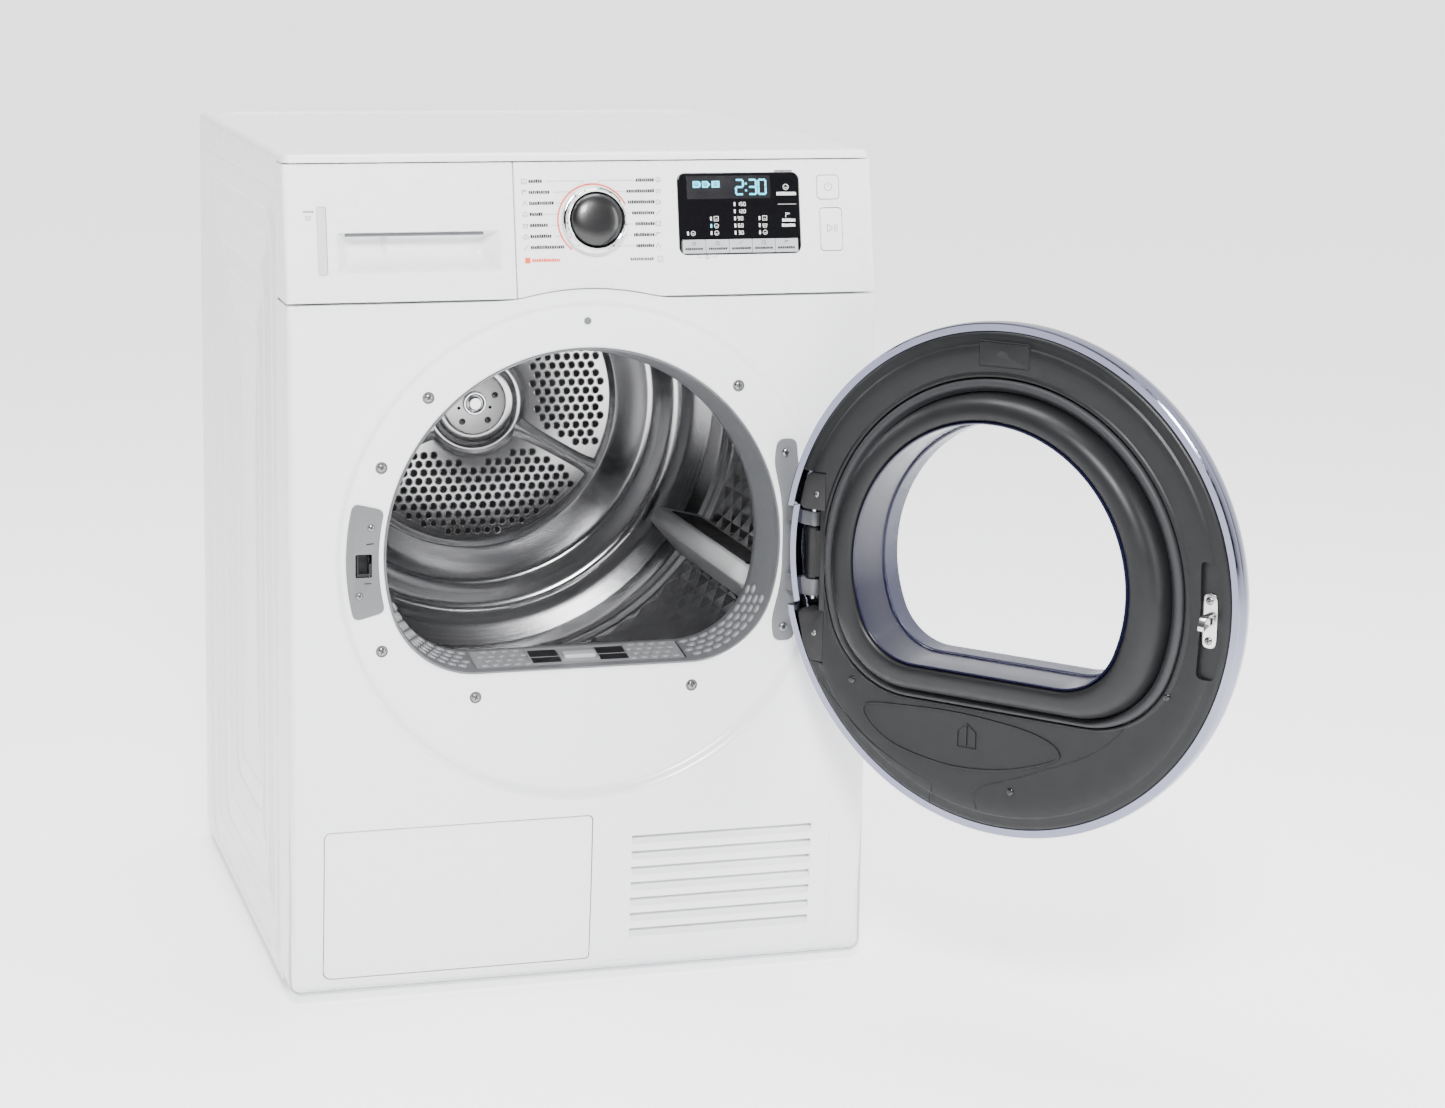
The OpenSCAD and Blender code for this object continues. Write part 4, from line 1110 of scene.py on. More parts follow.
def tick(angle, r0, r1, width, d0, d1):
    direction = np.array([math.cos(angle), math.sin(angle)])
    return stroke(direction * r0 + (DIAL_X, DIAL_U), direction * r1 + (DIAL_X, DIAL_U), width, d0, d1)


make_piece("dial_ticks", *join_parts([tick(a, 30.2, 31.8, 1.1, -9.35, -8.2) for a in angles]), print_dark,
           "dial", "black_gloss")
make_piece("dial_light", *tick(lit_angle, 30.2, 32.0, 1.7, -9.4, -8.2), cyan_light, "dial", "black_gloss")
print("dial done")

# %% [markdown]
# ## The drum
# The shell is turned from one profile, and its front band is pressed into diamonds. The rear wall has three
# perforated sectors round a bright hub.

# %% Drum shell
# The wall ends this far in front of the rear edge of the drum.
WALL_INSET = 2.8
DRUM_R = box_mm("drum_shell")[1][0]
DRUM_REAR = box_mm("drum_rear_wall")[1][1] + WALL_INSET
R_IN = DRUM_R - 1.4
inner_profile = [(260.5, -238), (261, -236.6), (268, -235), (276, -231), (280.4, -225), (R_IN - 1.6, -214),
                 (R_IN - 1.2, -210), (R_IN, -206), (R_IN, 99), (R_IN - 1.6, 102), (R_IN - 4.4, 107),
                 (R_IN - 1.6, 112), (R_IN, 115), (R_IN, 124), (R_IN - 1.6, 127), (R_IN - 4.4, 132),
                 (R_IN - 1.6, 137), (R_IN, 140), (R_IN, 158), (R_IN, 194)]
outer_profile = [(DRUM_R, 194), (DRUM_R, -226), (282, -233), (275, -237), (266, -238)]
make_piece("drum_skin", *lathe(inner_profile + outer_profile, 0, DRUM_Z, 192), drum_steel, "drum",
           "drum_steel", ["drum_shell"], 30)


def diamonds(y0, y1, rows, around, height):
    """Pyramids in a staggered lattice, standing in from the shell."""
    verts, faces = [], []
    for j in range(rows + 1):
        for i in range(around):
            raised = height if (i + j) % 2 == 0 and 0 < j < rows else 0.0
            angle = 2 * math.pi * i / around
            r = R_IN - 0.35 - raised
            verts.append((r * math.cos(angle), y0 + (y1 - y0) * j / rows, DRUM_Z + r * math.sin(angle)))
    for j in range(rows):
        for i in range(around):
            a, b = j * around + i, j * around + (i + 1) % around
            c, d = (j + 1) * around + (i + 1) % around, (j + 1) * around + i
            faces += [(a, b, d), (b, c, d)] if (i + j) % 2 == 0 else [(a, b, c), (a, c, d)]
    back = len(verts)
    for y in (y1, y0):
        for i in range(around):
            angle = 2 * math.pi * i / around
            verts.append(((R_IN + 0.3) * math.cos(angle), y, DRUM_Z + (R_IN + 0.3) * math.sin(angle)))
    for i in range(around):
        k = (i + 1) % around
        faces += [(rows * around + i, rows * around + k, back + k, back + i),
                  (back + i, back + k, back + around + k, back + around + i),
                  (back + around + i, back + around + k, k, i)]
    return verts, faces


make_piece("drum_diamonds", *diamonds(-206, 96, 18, 104, 5.6), embossed_steel, "drum", "drum_steel", (), 4)

# %% Rear wall, perforations and hub
wall_steps = [(38, -8), (44, -8), (47, -9.5), (50, -11.8), (54, -12.4), (58, -11.2), (62, -7.6), (66, -7.1),
              (160, -4.1), (163, -5.4), (166, -9), (168, -10.8), (171, -11.1), (175, -9.8), (206, -9.2),
              (210, -9.8), (214, -11.8), (222, -19.4), (229, -27), (233, -30.4), (238, -32), (242, -31.9),
              (246, -30.5), (251, -27.6), (256, -25), (261, -23.4), (266, -22.5), (278, -20.4),
              (283.3, -19.6)]
wall_profile = [(r, DRUM_REAR + step) for r, step in wall_steps]
wall_back = [(r, y + 1.4) for r, y in wall_profile[::-1]]
make_piece("drum_back", *lathe(wall_profile + wall_back, 0, DRUM_Z, 192), drum_steel, "drum", "drum_steel",
           ["drum_rear_wall"], 30)


def plate_y(r):
    """The perforated part of the wall is a very flat cone."""
    return DRUM_REAR - 8 + 4 * (r - 38) / 122


SPOKES = [-30.0, 90.0, 210.0]
spoke_parts = []
for spoke in SPOKES:
    across, along = np.array([-math.sin(math.radians(spoke)), math.cos(math.radians(spoke))]), \
        np.array([math.cos(math.radians(spoke)), math.sin(math.radians(spoke))])
    rings = []
    for r in np.linspace(52, 166, 20):
        wide = 9.5 + 9 * math.exp(-(r - 52) / 14) + 5 * math.exp(-(166 - r) / 8)
        section = []
        for t in np.linspace(-1, 1, 13):
            lift = 5.5 * (1 - t * t) ** 0.8
            point = along * r + across * wide * t
            section.append((point[0], plate_y(r) + 1.0 - lift, DRUM_Z + point[1]))
        section += [(p[0], plate_y(r) + 1.6, p[2]) for p in section[::-1]]
        rings.append(np.array(section))
    spoke_parts.append(skin(rings, cap_start=True, cap_end=True))
make_piece("drum_spokes", *join_parts(spoke_parts), drum_steel, "drum", "drum_steel", (), 40)

PITCH = 11.6
hole_points = []
for row in range(-16, 17):
    for column in range(-16, 17):
        x = PITCH * (column + 0.5 * (row % 2))
        z = PITCH * 0.866 * row
        r, angle = math.hypot(x, z), math.degrees(math.atan2(z, x))
        off = min(abs((angle - s + 180) % 360 - 180) for s in SPOKES)
        clear = r * math.sin(math.radians(min(off, 90)))
        corner = 6 * math.exp(-(157 - r) / 10) + 6 * math.exp(-(r - 70) / 10)
        if 72 < r < 156 and clear > 15 + corner:
            hole_points.append((x, plate_y(r), DRUM_Z + z))
eyelet = lathe([(3.2, 0.6), (3.3, -0.6), (3.7, -1.0), (4.2, -0.9), (4.8, -0.2), (5.1, 0.6)], 0, 0, 20)
# Painted shade: a dark disc sits in each eyelet and stands for the shade seen through the hole.
disc = slab(arc(0, 0, 3.35, 0, 360, 21)[:-1], -0.35, 0.5)
no_turn = np.zeros((len(hole_points), 3))
repeated("drum_eyelets", *eyelet, hole_points, no_turn, drum_steel, "drum", "drum_steel")
repeated("drum_holes", *disc, hole_points, no_turn, hole_dark, "drum", "drum_steel")
print("perforations", len(hole_points))

hub_high = box_mm("drum_hub")[1]
hub_face = DRUM_REAR - 12
make_piece("hub_plate", *lathe([(0.02, hub_face), (34, hub_face), (35.4, hub_face + 0.4),
                                (36, hub_face + 1.4),
                                (36.6, hub_face + 6), (44, hub_face + 8.6), (44, hub_face + 10),
                                (8, hub_face + 10), (8, hub_high[1]), (0.02, hub_high[1])], 0, DRUM_Z, 128),
           hub_steel, "drum", "drum_steel", ["drum_hub"], 30)
make_piece("hub_boss", *lathe([(0.02, hub_face - 6), (6.5, hub_face - 6), (7.6, hub_face - 5.2),
                               (8.2, hub_face - 2.4), (8.8, hub_face - 1.8), (11.2, hub_face - 3.6),
                               (12.6, hub_face - 3.6), (13.6, hub_face - 2.4), (14, hub_face + 0.3),
                               (0.02, hub_face + 0.3)], 0, DRUM_Z, 96), chrome, "drum", "drum_steel", (), 25)


def screw_head(r, height):
    """A domed screw head that faces -Y, with a cross-shaped recess left to the dark piece, which paints the
    shade in the recess.
    """
    return lathe([(0.02, -height), (r * 0.4, -height), (r * 0.72, -height * 0.86), (r * 0.92, -height * 0.5),
                  (r, -height * 0.12), (r, 0.2), (0.02, 0.2)], 0, 0, 28)


# Painted shade: a dark cross at the head's face stands for the shade inside the screw's recess.
def cross_recess(r, height):
    arm, half = r * 0.52, r * 0.12
    one = slab([(-arm, -half), (arm, -half), (arm, half), (-arm, half)], -height - 0.06, -height + 0.5)
    two = slab([(-half, -arm), (half, -arm), (half, arm), (-half, arm)], -height - 0.05, -height + 0.5)
    return join_parts([one, two])


def screws(name, points, r, height, body, turns=None, steel=None, slot_name="chrome", nodes=()):
    points = np.asarray(points, float)
    if turns is None:
        turns = np.array([(0, 0.7 * i, 0) for i in range(len(points))])
    repeated(name, *screw_head(r, height), points, turns, steel or screw_steel, body, slot_name, nodes)
    # Painted shade: the dark cross stands for the shade in each screw's recess.
    repeated(name + "_recess", *cross_recess(r, height), points, turns, hole_dark, body, slot_name)


hub_screws = [(25.5 * math.cos(math.radians(a)), hub_face, DRUM_Z + 25.5 * math.sin(math.radians(a)))
              for a in (-52, 20, 92, 164, 236)]
screws("hub_screws", hub_screws, 3.9, 2.2, "drum", slot_name="drum_steel")
small = [(19 * math.cos(math.radians(a)), hub_face, DRUM_Z + 19 * math.sin(math.radians(a))) for a in (-16,
                                                                                                       196)]
# Painted shade: dark discs stand for the shade inside two small holes in the hub plate.
repeated("hub_holes", *slab(arc(0, 0, 1.9, 0, 360, 17)[:-1], -0.2, 0.6), small, np.zeros((2, 3)), hole_dark,
         "drum", "drum_steel")
print("hub done")

# %% Lifters
LIFT_ANGLES = [-32.0, 88.0, 208.0]


def lifter(angle):
    """A tapered blade: wide at the shell, narrow and rounded at its crest, with sloped ends."""
    a = math.radians(angle)
    out, side = np.array([math.cos(a), math.sin(a)]), np.array([-math.sin(a), math.cos(a)])
    rings = []
    for y, scale in ((-213, 0.25), (-209, 0.62), (-200, 0.9), (-186, 1.0), (120, 1.0), (136, 0.9),
                     (146, 0.62), (149.5, 0.25)):
        tall = 51 * scale
        section = []
        for t, h in ((-1, 0), (-0.97, 0.04), (-0.42, 0.9), (-0.38, 0.95), (-0.33, 0.97), (-0.1, 1.0),
                     (0.1, 1.0), (0.33, 0.97), (0.38, 0.95), (0.42, 0.9), (0.97, 0.04), (1, 0)):
            r = DRUM_R - 6.9 - tall * h
            point = out * r + side * (25 * (0.5 + 0.5 * scale)) * t
            section.append((point[0], y, DRUM_Z + point[1]))
        rings.append(np.array(section))
    return skin(rings, cap_start=True, cap_end=True)


make_piece("lifter_blades", *join_parts([lifter(a) for a in LIFT_ANGLES]),
           grained("lifter_grey", (0.5, 0.505, 0.515), 0.33, 0.05, 1200.0, 0.00003, 0.06), "drum",
           "grey_plastic", ["drum_lifters"], 40)


def lifter_dark_side(angle):
    """A dark strip on the upper side of a blade: painted shade for that side, which also stands for the dark
    holes along it.
    """
    a = math.radians(angle)
    out, side = np.array([math.cos(a), math.sin(a)]), np.array([-math.sin(a), math.cos(a)])
    rings = []
    for y in np.linspace(-192, 96, 12):
        section = []
        for t, h, lift in ((0.93, 0.12, -0.6), (0.5, 0.8, -0.6), (0.5, 0.8, 0.9), (0.93, 0.12, 0.9)):
            point = out * (DRUM_R - 6.9 - 51 * h - lift * 0.5) + side * (25 * t + lift)
            section.append((point[0], y, DRUM_Z + point[1]))
        rings.append(np.array(section))
    return skin(rings, cap_start=True, cap_end=True)


# Painted shade: the dark strips darken one side of each blade, and also stand for the dark holes on that side.
make_piece("lifter_insets", *join_parts([lifter_dark_side(a) for a in LIFT_ANGLES]), black_satin, "drum",
           "grey_plastic", (), 30)
print("lifters", len(LIFT_ANGLES))

# %% [markdown]
# ## The seat of the door and the filter
# A grey lining narrows towards the drum, so its lower part can be seen from the front. Raised scales cover
# the bottom and the two curved corners, and the lint filter's own top carries more of them.


# %% Lining of the opening
def opening_at(shrink):
    return d_outline(OPEN_R - shrink, OPEN_FLAT - shrink, OPEN_BLEND - shrink * 0.6, OPEN_Z)


def lining_ring(shrink, y):
    return ring_at(by_angle(opening_at(shrink), FRONT_CENTRE, 360), y)


LINING_FRONT, LINING_REAR = SEAT_Y + 4.0, -262.0


def shrink_at(y):
    return 2.2 + 8.6 * (y - LINING_FRONT) / (LINING_REAR - LINING_FRONT)


lining_rings = [lining_ring(s, y) for s, y in (
    (0.3, SEAT_Y + 2.0), (0.4, SEAT_Y - 0.2), (0.9, SEAT_Y - 0.8), (1.6, SEAT_Y - 0.9), (2.1, SEAT_Y - 0.3),
    (2.3, SEAT_Y + 1.0))]
lining_rings += [lining_ring(shrink_at(y), y) for y in np.linspace(LINING_FRONT, LINING_REAR, 7)]
lining_rings += [lining_ring(shrink_at(LINING_REAR) - 0.6, LINING_REAR + 1.0),
                 lining_ring(shrink_at(LINING_REAR) - 2.2, LINING_REAR + 1.0)]
lining_rings += [lining_ring(shrink_at(y) - 2.0, y) for y in np.linspace(LINING_REAR, LINING_FRONT + 2, 7)]
filter_low, filter_high = box_mm("lint_filter")
lining = make_piece("shroud_lining", *skin(lining_rings, loop=True), grey_plastic, "cabinet", "grey_plastic",
                    (), 45)
slot_cutter = slab([(filter_low[0] - 0.8, 322), (filter_high[0] + 0.8, 322), (filter_high[0] + 0.8, 350),
                    (filter_low[0] - 0.8, 350)], filter_low[1] - 0.6, filter_high[1] + 0.6)
cut(lining, [loose("filter_slot", *slot_cutter)], 45)
print("lining", len(lining.data.polygons))

# %% Lint filter
FILTER_Y0, FILTER_Y1 = filter_low[1] + 0.3, filter_high[1] - 0.3


def top_z(y):
    return OPEN_Z - OPEN_FLAT + shrink_at(y)


half = filter_high[0] - 0.4
filter_rings = []
for x, inset in ((-half, 1.2), (-half + 1.2, 0), (half - 1.2, 0), (half, 1.2)):
    filter_rings.append(np.array([(x, FILTER_Y0 + inset, filter_low[2] + inset),
                                  (x, FILTER_Y1 - inset, filter_low[2] + inset),
                                  (x, FILTER_Y1 - inset, top_z(FILTER_Y1) - inset),
                                  (x, FILTER_Y0 + inset, top_z(FILTER_Y0) - inset)]))
make_piece("filter_case", *skin(filter_rings, cap_start=True, cap_end=True), filter_grey, "lint_filter",
           "grey_plastic", ["lint_filter"], 30)
deck = []
for x0, x1 in ((-50, -20), (20, 50)):
    for y0, y1 in ((FILTER_Y0 + 5, FILTER_Y0 + 18), (FILTER_Y0 + 20.5, FILTER_Y1 - 6)):
        low = rounded_box(x0, x1, y0, y1, 2.0, 4)
        deck.append(skin([np.column_stack([low, [top_z(y) - 1.0 for y in low[:, 1]]]),
                          np.column_stack([low, [top_z(y) + 0.25 for y in low[:, 1]]])],
                         cap_start=True, cap_end=True))
make_piece("filter_mesh_windows", *join_parts(deck), hole_dark, "lint_filter", "grey_plastic", (), 30)
grip_shapes = []
for x0, x1, y0, y1, lift in ((-52.5, -50, FILTER_Y0 + 3, FILTER_Y1 - 4, 1.8), (50, 52.5, FILTER_Y0 + 3,
                             FILTER_Y1 - 4, 1.8), (-20, 20, FILTER_Y0 + 4, FILTER_Y1 - 12, 2.2)):
    low = rounded_box(x0, x1, y0, y1, 1.0, 3)
    grip_shapes.append(skin([np.column_stack([low, [top_z(y) - 1.0 for y in low[:, 1]]]),
                             np.column_stack([low, [top_z(y) + lift for y in low[:, 1]]])],
                            cap_start=True, cap_end=True))
frame_obj = make_piece("filter_frame", *join_parts(grip_shapes), filter_grey, "lint_filter", "grey_plastic",
                       (), 30)
add_bevel(frame_obj, 0.5)
grip_ring = rounded_box(-17, 17, FILTER_Y0 + 7, FILTER_Y0 + 19, 3.0, 6)
grip = skin([np.column_stack([grip_ring, [top_z(y) + 1.0 for y in grip_ring[:, 1]]]),
             np.column_stack([grip_ring, [top_z(y) + 5.6 for y in grip_ring[:, 1]]])], cap_start=True,
            cap_end=True)
grip_obj = make_piece("filter_grip", *grip, silver_key, "lint_filter", "grey_plastic", (), 30)
add_bevel(grip_obj, 1.2)


# %% Scales on the filter and on the corners
def scale_shape():
    """A fish scale: a half dome, steep at its round front and easing down behind."""
    rings = []
    for share, height in ((1.0, -0.4), (1.0, 0.15), (0.9, 1.1), (0.7, 1.7), (0.4, 1.9)):
        angles = np.linspace(0, 2 * math.pi, 13)[:-1]
        x = 5.0 * share * np.cos(angles)
        y = 4.6 * share * np.where(np.sin(angles) < 0, np.sin(angles), 0.45 * np.sin(angles))
        rings.append(np.column_stack([x, y, np.full(12, height)]))
    return skin(rings, cap_start=True, cap_end=True)


deck_points, corner_points, corner_turns = [], [], []
for row, y in enumerate(np.linspace(FILTER_Y0 + 5, FILTER_Y1 - 4, 4)):
    outline = opening_at(shrink_at(y))
    right_half = outline[(outline[:, 0] >= 0) & (outline[:, 1] < OPEN_Z - 10)]
    order = np.argsort(np.arctan2(right_half[:, 1] - OPEN_Z, right_half[:, 0]))
    walk = right_half[order]
    lengths = np.concatenate([[0], np.cumsum(np.hypot(*np.diff(walk, axis=0).T))])
    flat_x = walk[0][0]
    for step in range(40):
        along = 55 + 11.2 * step + (5.6 if row % 2 else 0)
        reach = along - flat_x
        if reach >= lengths[-1] or along > 212:
            break
        x = np.interp(reach, lengths, walk[:, 0])
        z = np.interp(reach, lengths, walk[:, 1])
        x2, z2 = np.interp(reach + 2, lengths, walk[:, 0]), np.interp(reach + 2, lengths, walk[:, 1])
        slope = math.atan2(z2 - z, x2 - x)
        for side in (1, -1):
            place = (side * x, y, z)
            if along < half - 4:
                deck_points.append(place)
            elif along > half + 7:
                corner_points.append(place)
                corner_turns.append((0, -side * slope, 0))
repeated("filter_scales", *scale_shape(), deck_points, np.zeros((len(deck_points), 3)), filter_grey,
         "lint_filter", "grey_plastic")
repeated("corner_scales", *scale_shape(), corner_points, np.array(corner_turns), filter_grey, "cabinet",
         "grey_plastic")
print("scales", len(deck_points), len(corner_points))

# %% [markdown]
# ## Plates and screws on the seat
# The latch plate and the hinge plate are thin grey pressings with rounded corners. Their bright screws are
# one head and one cross recess, placed at points by a node tree.


# %% Rounded outlines and plates
def fillet(corners, count=7):
    """corners holds (x, z, radius); each corner becomes a short curve."""
    points = np.array([c[:2] for c in corners], float)
    result = []
    for i, (x, z, r) in enumerate(corners):
        here = points[i]
        before, after = points[i - 1] - here, points[(i + 1) % len(points)] - here
        before /= max(np.hypot(*before), 1e-6)
        after /= max(np.hypot(*after), 1e-6)
        if r <= 0:
            result.append(here)
            continue
        a, b = here + before * r, here + after * r
        for t in np.linspace(0, 1, count):
            result.append(a * (1 - t) ** 2 + here * 2 * t * (1 - t) + b * t * t)
    return np.array(result)


def polar(r, angle, centre_z=SEAT_Z):
    return r * math.cos(math.radians(angle)), centre_z + r * math.sin(math.radians(angle))


def band_outline(r0, r1, a0, a1, corner, count=14):
    """Part of a ring with rounded ends."""
    corners = [(*polar(r1, a), corner if i in (0, count - 1) else 0)
               for i, a in enumerate(np.linspace(a0, a1, count))]
    corners += [(*polar(r0, a), corner if i in (0, count - 1) else 0)
                for i, a in enumerate(np.linspace(a1, a0, count))]
    return fillet(corners)


plate_shape = slab(band_outline(209.5, 242, 166.2, 194.4, 7.5), SEAT_Y - 1.7, SEAT_Y + 0.2)
latch_cover = make_piece("latch_cover", *plate_shape, grey_plastic, "cabinet", "grey_plastic",
                         ["latch_plate"])
cut(latch_cover, [loose("latch_hole", *slab(rounded_box(-232.6, -216.4, 436.4, 459.6, 1.4, 4), SEAT_Y - 6,
                                            SEAT_Y + 4))])
add_bevel(latch_cover, 0.5)
# Painted shade: a dark plate set deep behind the latch hole stands for the shade inside it.
lock = [slab(rounded_box(-231.6, -217.2, 437.2, 458.8, 1.0, 4), SEAT_Y + 13, SEAT_Y + 14)]
make_piece("latch_dark", *join_parts(lock), hole_dark, "cabinet", "black_plastic")
lock = [slab(rounded_box(-231.4, -229.8, 437, 459, 0.4, 3), SEAT_Y - 1.4, SEAT_Y + 8),
        slab(rounded_box(-219.2, -217, 439, 450, 0.4, 3), SEAT_Y - 0.6, SEAT_Y + 8),
        slab(rounded_box(-229.8, -219.2, 437, 440, 0.4, 3), SEAT_Y + 0.6, SEAT_Y + 8)]
make_piece("latch_lock", *join_parts(lock), black_satin, "cabinet", "black_plastic")
marks = [slab([(-222, 469), (-214.5, 469.8), (-214.5, 471), (-222, 470.2)], SEAT_Y - 1.95, SEAT_Y - 1.5),
         slab([(-224, 430), (-217, 430), (-217, 431.1), (-224, 431.1)], SEAT_Y - 1.95, SEAT_Y - 1.5)]
make_piece("latch_marks", *join_parts(marks), print_dark, "cabinet", "grey_plastic")

HZ = SEAT_Z
hinge_shape = fillet([(199, HZ + 107, 8), (219, HZ + 107, 8), (221, HZ + 84, 12), (225, HZ + 52, 12),
                      (226, HZ + 4, 4), (226, HZ - 4, 4), (225, HZ - 48, 12), (221, HZ - 80, 12),
                      (219, HZ - 102, 8), (198, HZ - 102, 8), (195.5, HZ - 80, 10), (206, HZ - 38, 22),
                      (206, HZ + 38, 22), (195.5, HZ + 84, 10)])
hinge_cover = make_piece("hinge_cover", *slab(hinge_shape, SEAT_Y - 2.1, SEAT_Y + 0.2), grey_plastic,
                         "cabinet", "grey_plastic", ["hinge_plate"])
add_bevel(hinge_cover, 0.6)
ears = []
for z0, z1 in ((405, 422), (477, 491)):
    profile = fillet([(209, -321, 1), (224, -321.5, 2), (237.5, -347, 6), (235, -361.5, 5), (226, -363, 5),
                      (220.5, -352, 5), (212, -331, 5)])
    ears.append(skin([np.column_stack([profile, np.full(len(profile), z)]) for z in (z0, z1)], cap_start=True,
                     cap_end=True))
ear_obj = make_piece("hinge_ears", *join_parts(ears), grey_plastic, "cabinet", "grey_plastic")
add_bevel(ear_obj, 0.7)
pin = [np.column_stack([arc(HINGE[0], HINGE[1], r, 0, 360, 25)[:-1], np.full(24, z)])
       for r, z in ((3.4, 401), (4, 401.6), (4, 494.4), (3.4, 495))]
make_piece("hinge_pin", *skin(pin, cap_start=True, cap_end=True), bright_steel, "cabinet", "chrome")

# %% Screws on the seat
seat_screws = [(*polar(226, a), ) for a in (46, 135, 156, 204)] + [(112, 309), (-112, 309)]
screws("seat_screws", [(x, SEAT_Y, z) for x, z in seat_screws], 4.4, 2.0, "cabinet", nodes=["front_screws"])
screws("latch_screws", [(-217, SEAT_Y - 1.7, 486), (-229, SEAT_Y - 1.7, 418)], 3.6, 1.8, "cabinet")
screws("hinge_screws", [(208, SEAT_Y - 2.1, 546), (208, SEAT_Y - 2.1, 365)], 4.6, 2.0, "cabinet")
# Each seat screw sits in a recessed washer; its dark grey is painted shade in that recess.
washer = lathe([(4.5, 0.3), (4.6, -0.35), (5.3, -0.5), (6.0, -0.3), (6.2, 0.3)], 0, 0, 32)
repeated("seat_washers", *washer, [(x, SEAT_Y, z) for x, z in seat_screws], np.zeros((6, 3)), print_and_shade_grey,
         "cabinet", "grey_plastic")
button = lathe([(0.02, SEAT_Y - 0.3), (2.0, SEAT_Y - 0.4), (2.2, SEAT_Y - 0.9), (3.4, SEAT_Y - 0.9),
                (3.8, SEAT_Y - 0.3), (3.8, SEAT_Y + 0.4), (0.02, SEAT_Y + 0.4)], 0, SEAT_Z + 232, 32)
make_piece("seat_button", *button, grey_plastic, "cabinet", "grey_plastic")
print("seat done")

# %% [markdown]
# ## The door
# The door is drawn shut, where its circles are easy to write, and then turned about the hinge to the angle of
# the frame at rest. Its inner moulding passes from round at the rim to a D at the window.

# %% Door helpers
DOOR_CENTRE = (0.0, OPEN_Z)


def to_door(verts):
    """Turn points of the shut door about the hinge to where it stands at rest."""
    verts = np.array(verts, float)
    c, s = math.cos(DOOR_OPEN), math.sin(DOOR_OPEN)
    x, y = verts[:, 0] - HINGE[0], verts[:, 1] - HINGE[1]
    verts[:, 0], verts[:, 1] = HINGE[0] + c * x - s * y, HINGE[1] + s * x + c * y
    return verts


def door_piece(name, shape, material, slot, nodes=(), sharp=35.0):
    verts, faces = shape
    return make_piece(name, to_door(verts), faces, material, "door", slot, nodes, sharp)


def door_d(r):
    """The D of the window, of the plug or of the seal, by its radius."""
    share = (r - 151) / 46
    raised = 8 * min(max((184 - r) / 33, 0), 1)
    return d_outline(r, 98 + 29 * share, 66 + 28 * share, OPEN_Z + raised)


def door_ring_at(r, y, round_share):
    """Round at the rim, a D inside, and a mix between them."""
    round_one = by_angle(circle(r, SEAT_Z), DOOR_CENTRE, 360)
    if round_share >= 1:
        return ring_at(round_one, y)
    d_one = by_angle(door_d(min(r, 206)), DOOR_CENTRE, 360)
    return ring_at(d_one * (1 - round_share) + round_one * round_share, y)


# %% Inner moulding
frame_profile = [(243.4, -344, 1), (243.4, -334, 1), (243.2, -331.6, 1), (242.2, -329.9, 1),
                 (240.4, -329.0, 1),
                 (238, -328.6, 1), (232.4, -328.3, 1), (231.4, -327.9, 1), (230.4, -326.6, 1),
                 (229.4, -326.1, 1), (222, -325.6, 1), (214, -325.6, 1), (208, -326.2, 1)]
frame_profile += [(204, -326.4, 0), (202.6, -325.4, 0), (201, -324.8, 0), (199.4, -325.2, 0),
                  (198.4, -327.6, 0),
                  (197.6, -329.6, 0), (186, -329.6, 0), (184.6, -329.0, 0), (183.6, -325, 0),
                  (182.6, -318, 0),
                  (180.4, -311, 0), (177, -305.6, 0), (173, -302.4, 0), (168, -300.6, 0), (162, -299.8, 0),
                  (157, -300.0, 0), (153.8, -301.0, 0), (152.0, -303, 0), (151.4, -306, 0), (151.4, -333, 0),
                  (160, -333.4, 0), (200, -333.4, 0.0), (240.4, -333.4, 1), (240.4, -344, 1)]
moulding = door_piece("door_moulding", skin([door_ring_at(*p) for p in frame_profile], loop=True), charcoal,
                      "charcoal_plastic", ["door_frame"], 38)
notch = slab([(198, 344), (262, 344), (262, 538), (198, 538)], -350, -290)
pocket_hole = slab(fillet([(-213.5, 504, 6), (-231, 500, 6), (-235.5, 470, 5), (-236, 424, 5), (-229, 390, 6),
                           (-212, 392, 6), (-213.5, 420, 4), (-214, 474, 4)]), -331.0, -315)
cutters = [loose("notch", to_door(notch[0]), notch[1]), loose("pocket", to_door(pocket_hole[0]),
                                                              pocket_hole[1])]
cut(moulding, cutters, 38)
seal_profile = [(196.6, -329), (197.2, -325.6), (196.6, -323.2), (194.8, -321.8), (192.4, -321.3),
                (190, -321.8), (188.2, -323.2), (187.0, -324.9), (185.6, -325.9), (185.4, -329)]
door_piece("seal_lip", skin([door_ring_at(r, y, 0) for r, y in seal_profile], loop=True), rubber,
           "rubber_grey", ["door_seal"], 50)

# %% Window tunnel and pane


def tunnel_ring(grow, y):
    outline = d_outline(148 + grow, 95 + grow, 63 + grow, OPEN_Z + 8)
    return ring_at(by_angle(outline, (0.0, OPEN_Z + 8), 360), y)


tunnel_profile = [(2.6, -303), (1.6, -301.6), (0.4, -302.4), (0, -305), (-0.4, -330), (-0.8, -352),
                  (-2.2, -353.4), (-2.6, -356), (-3.0, -377.2), (2.6, -376.4), (2.6, -340)]
door_piece("window_sleeve", skin([tunnel_ring(*p) for p in tunnel_profile], loop=True), navy, "tunnel_navy",
           ["window_tunnel"], 40)
step_profile = [(-2.5, -355), (-3.1, -355.4), (-3.8, -376.6), (-2.9, -377.0)]
door_piece("window_step", skin([tunnel_ring(*p) for p in step_profile], loop=True), navy_light, "tunnel_navy",
           (), 40)


def dome_y(r, base, rise=7.4, edge=214.5):
    return base - rise * (1 - (r / edge) ** 2)


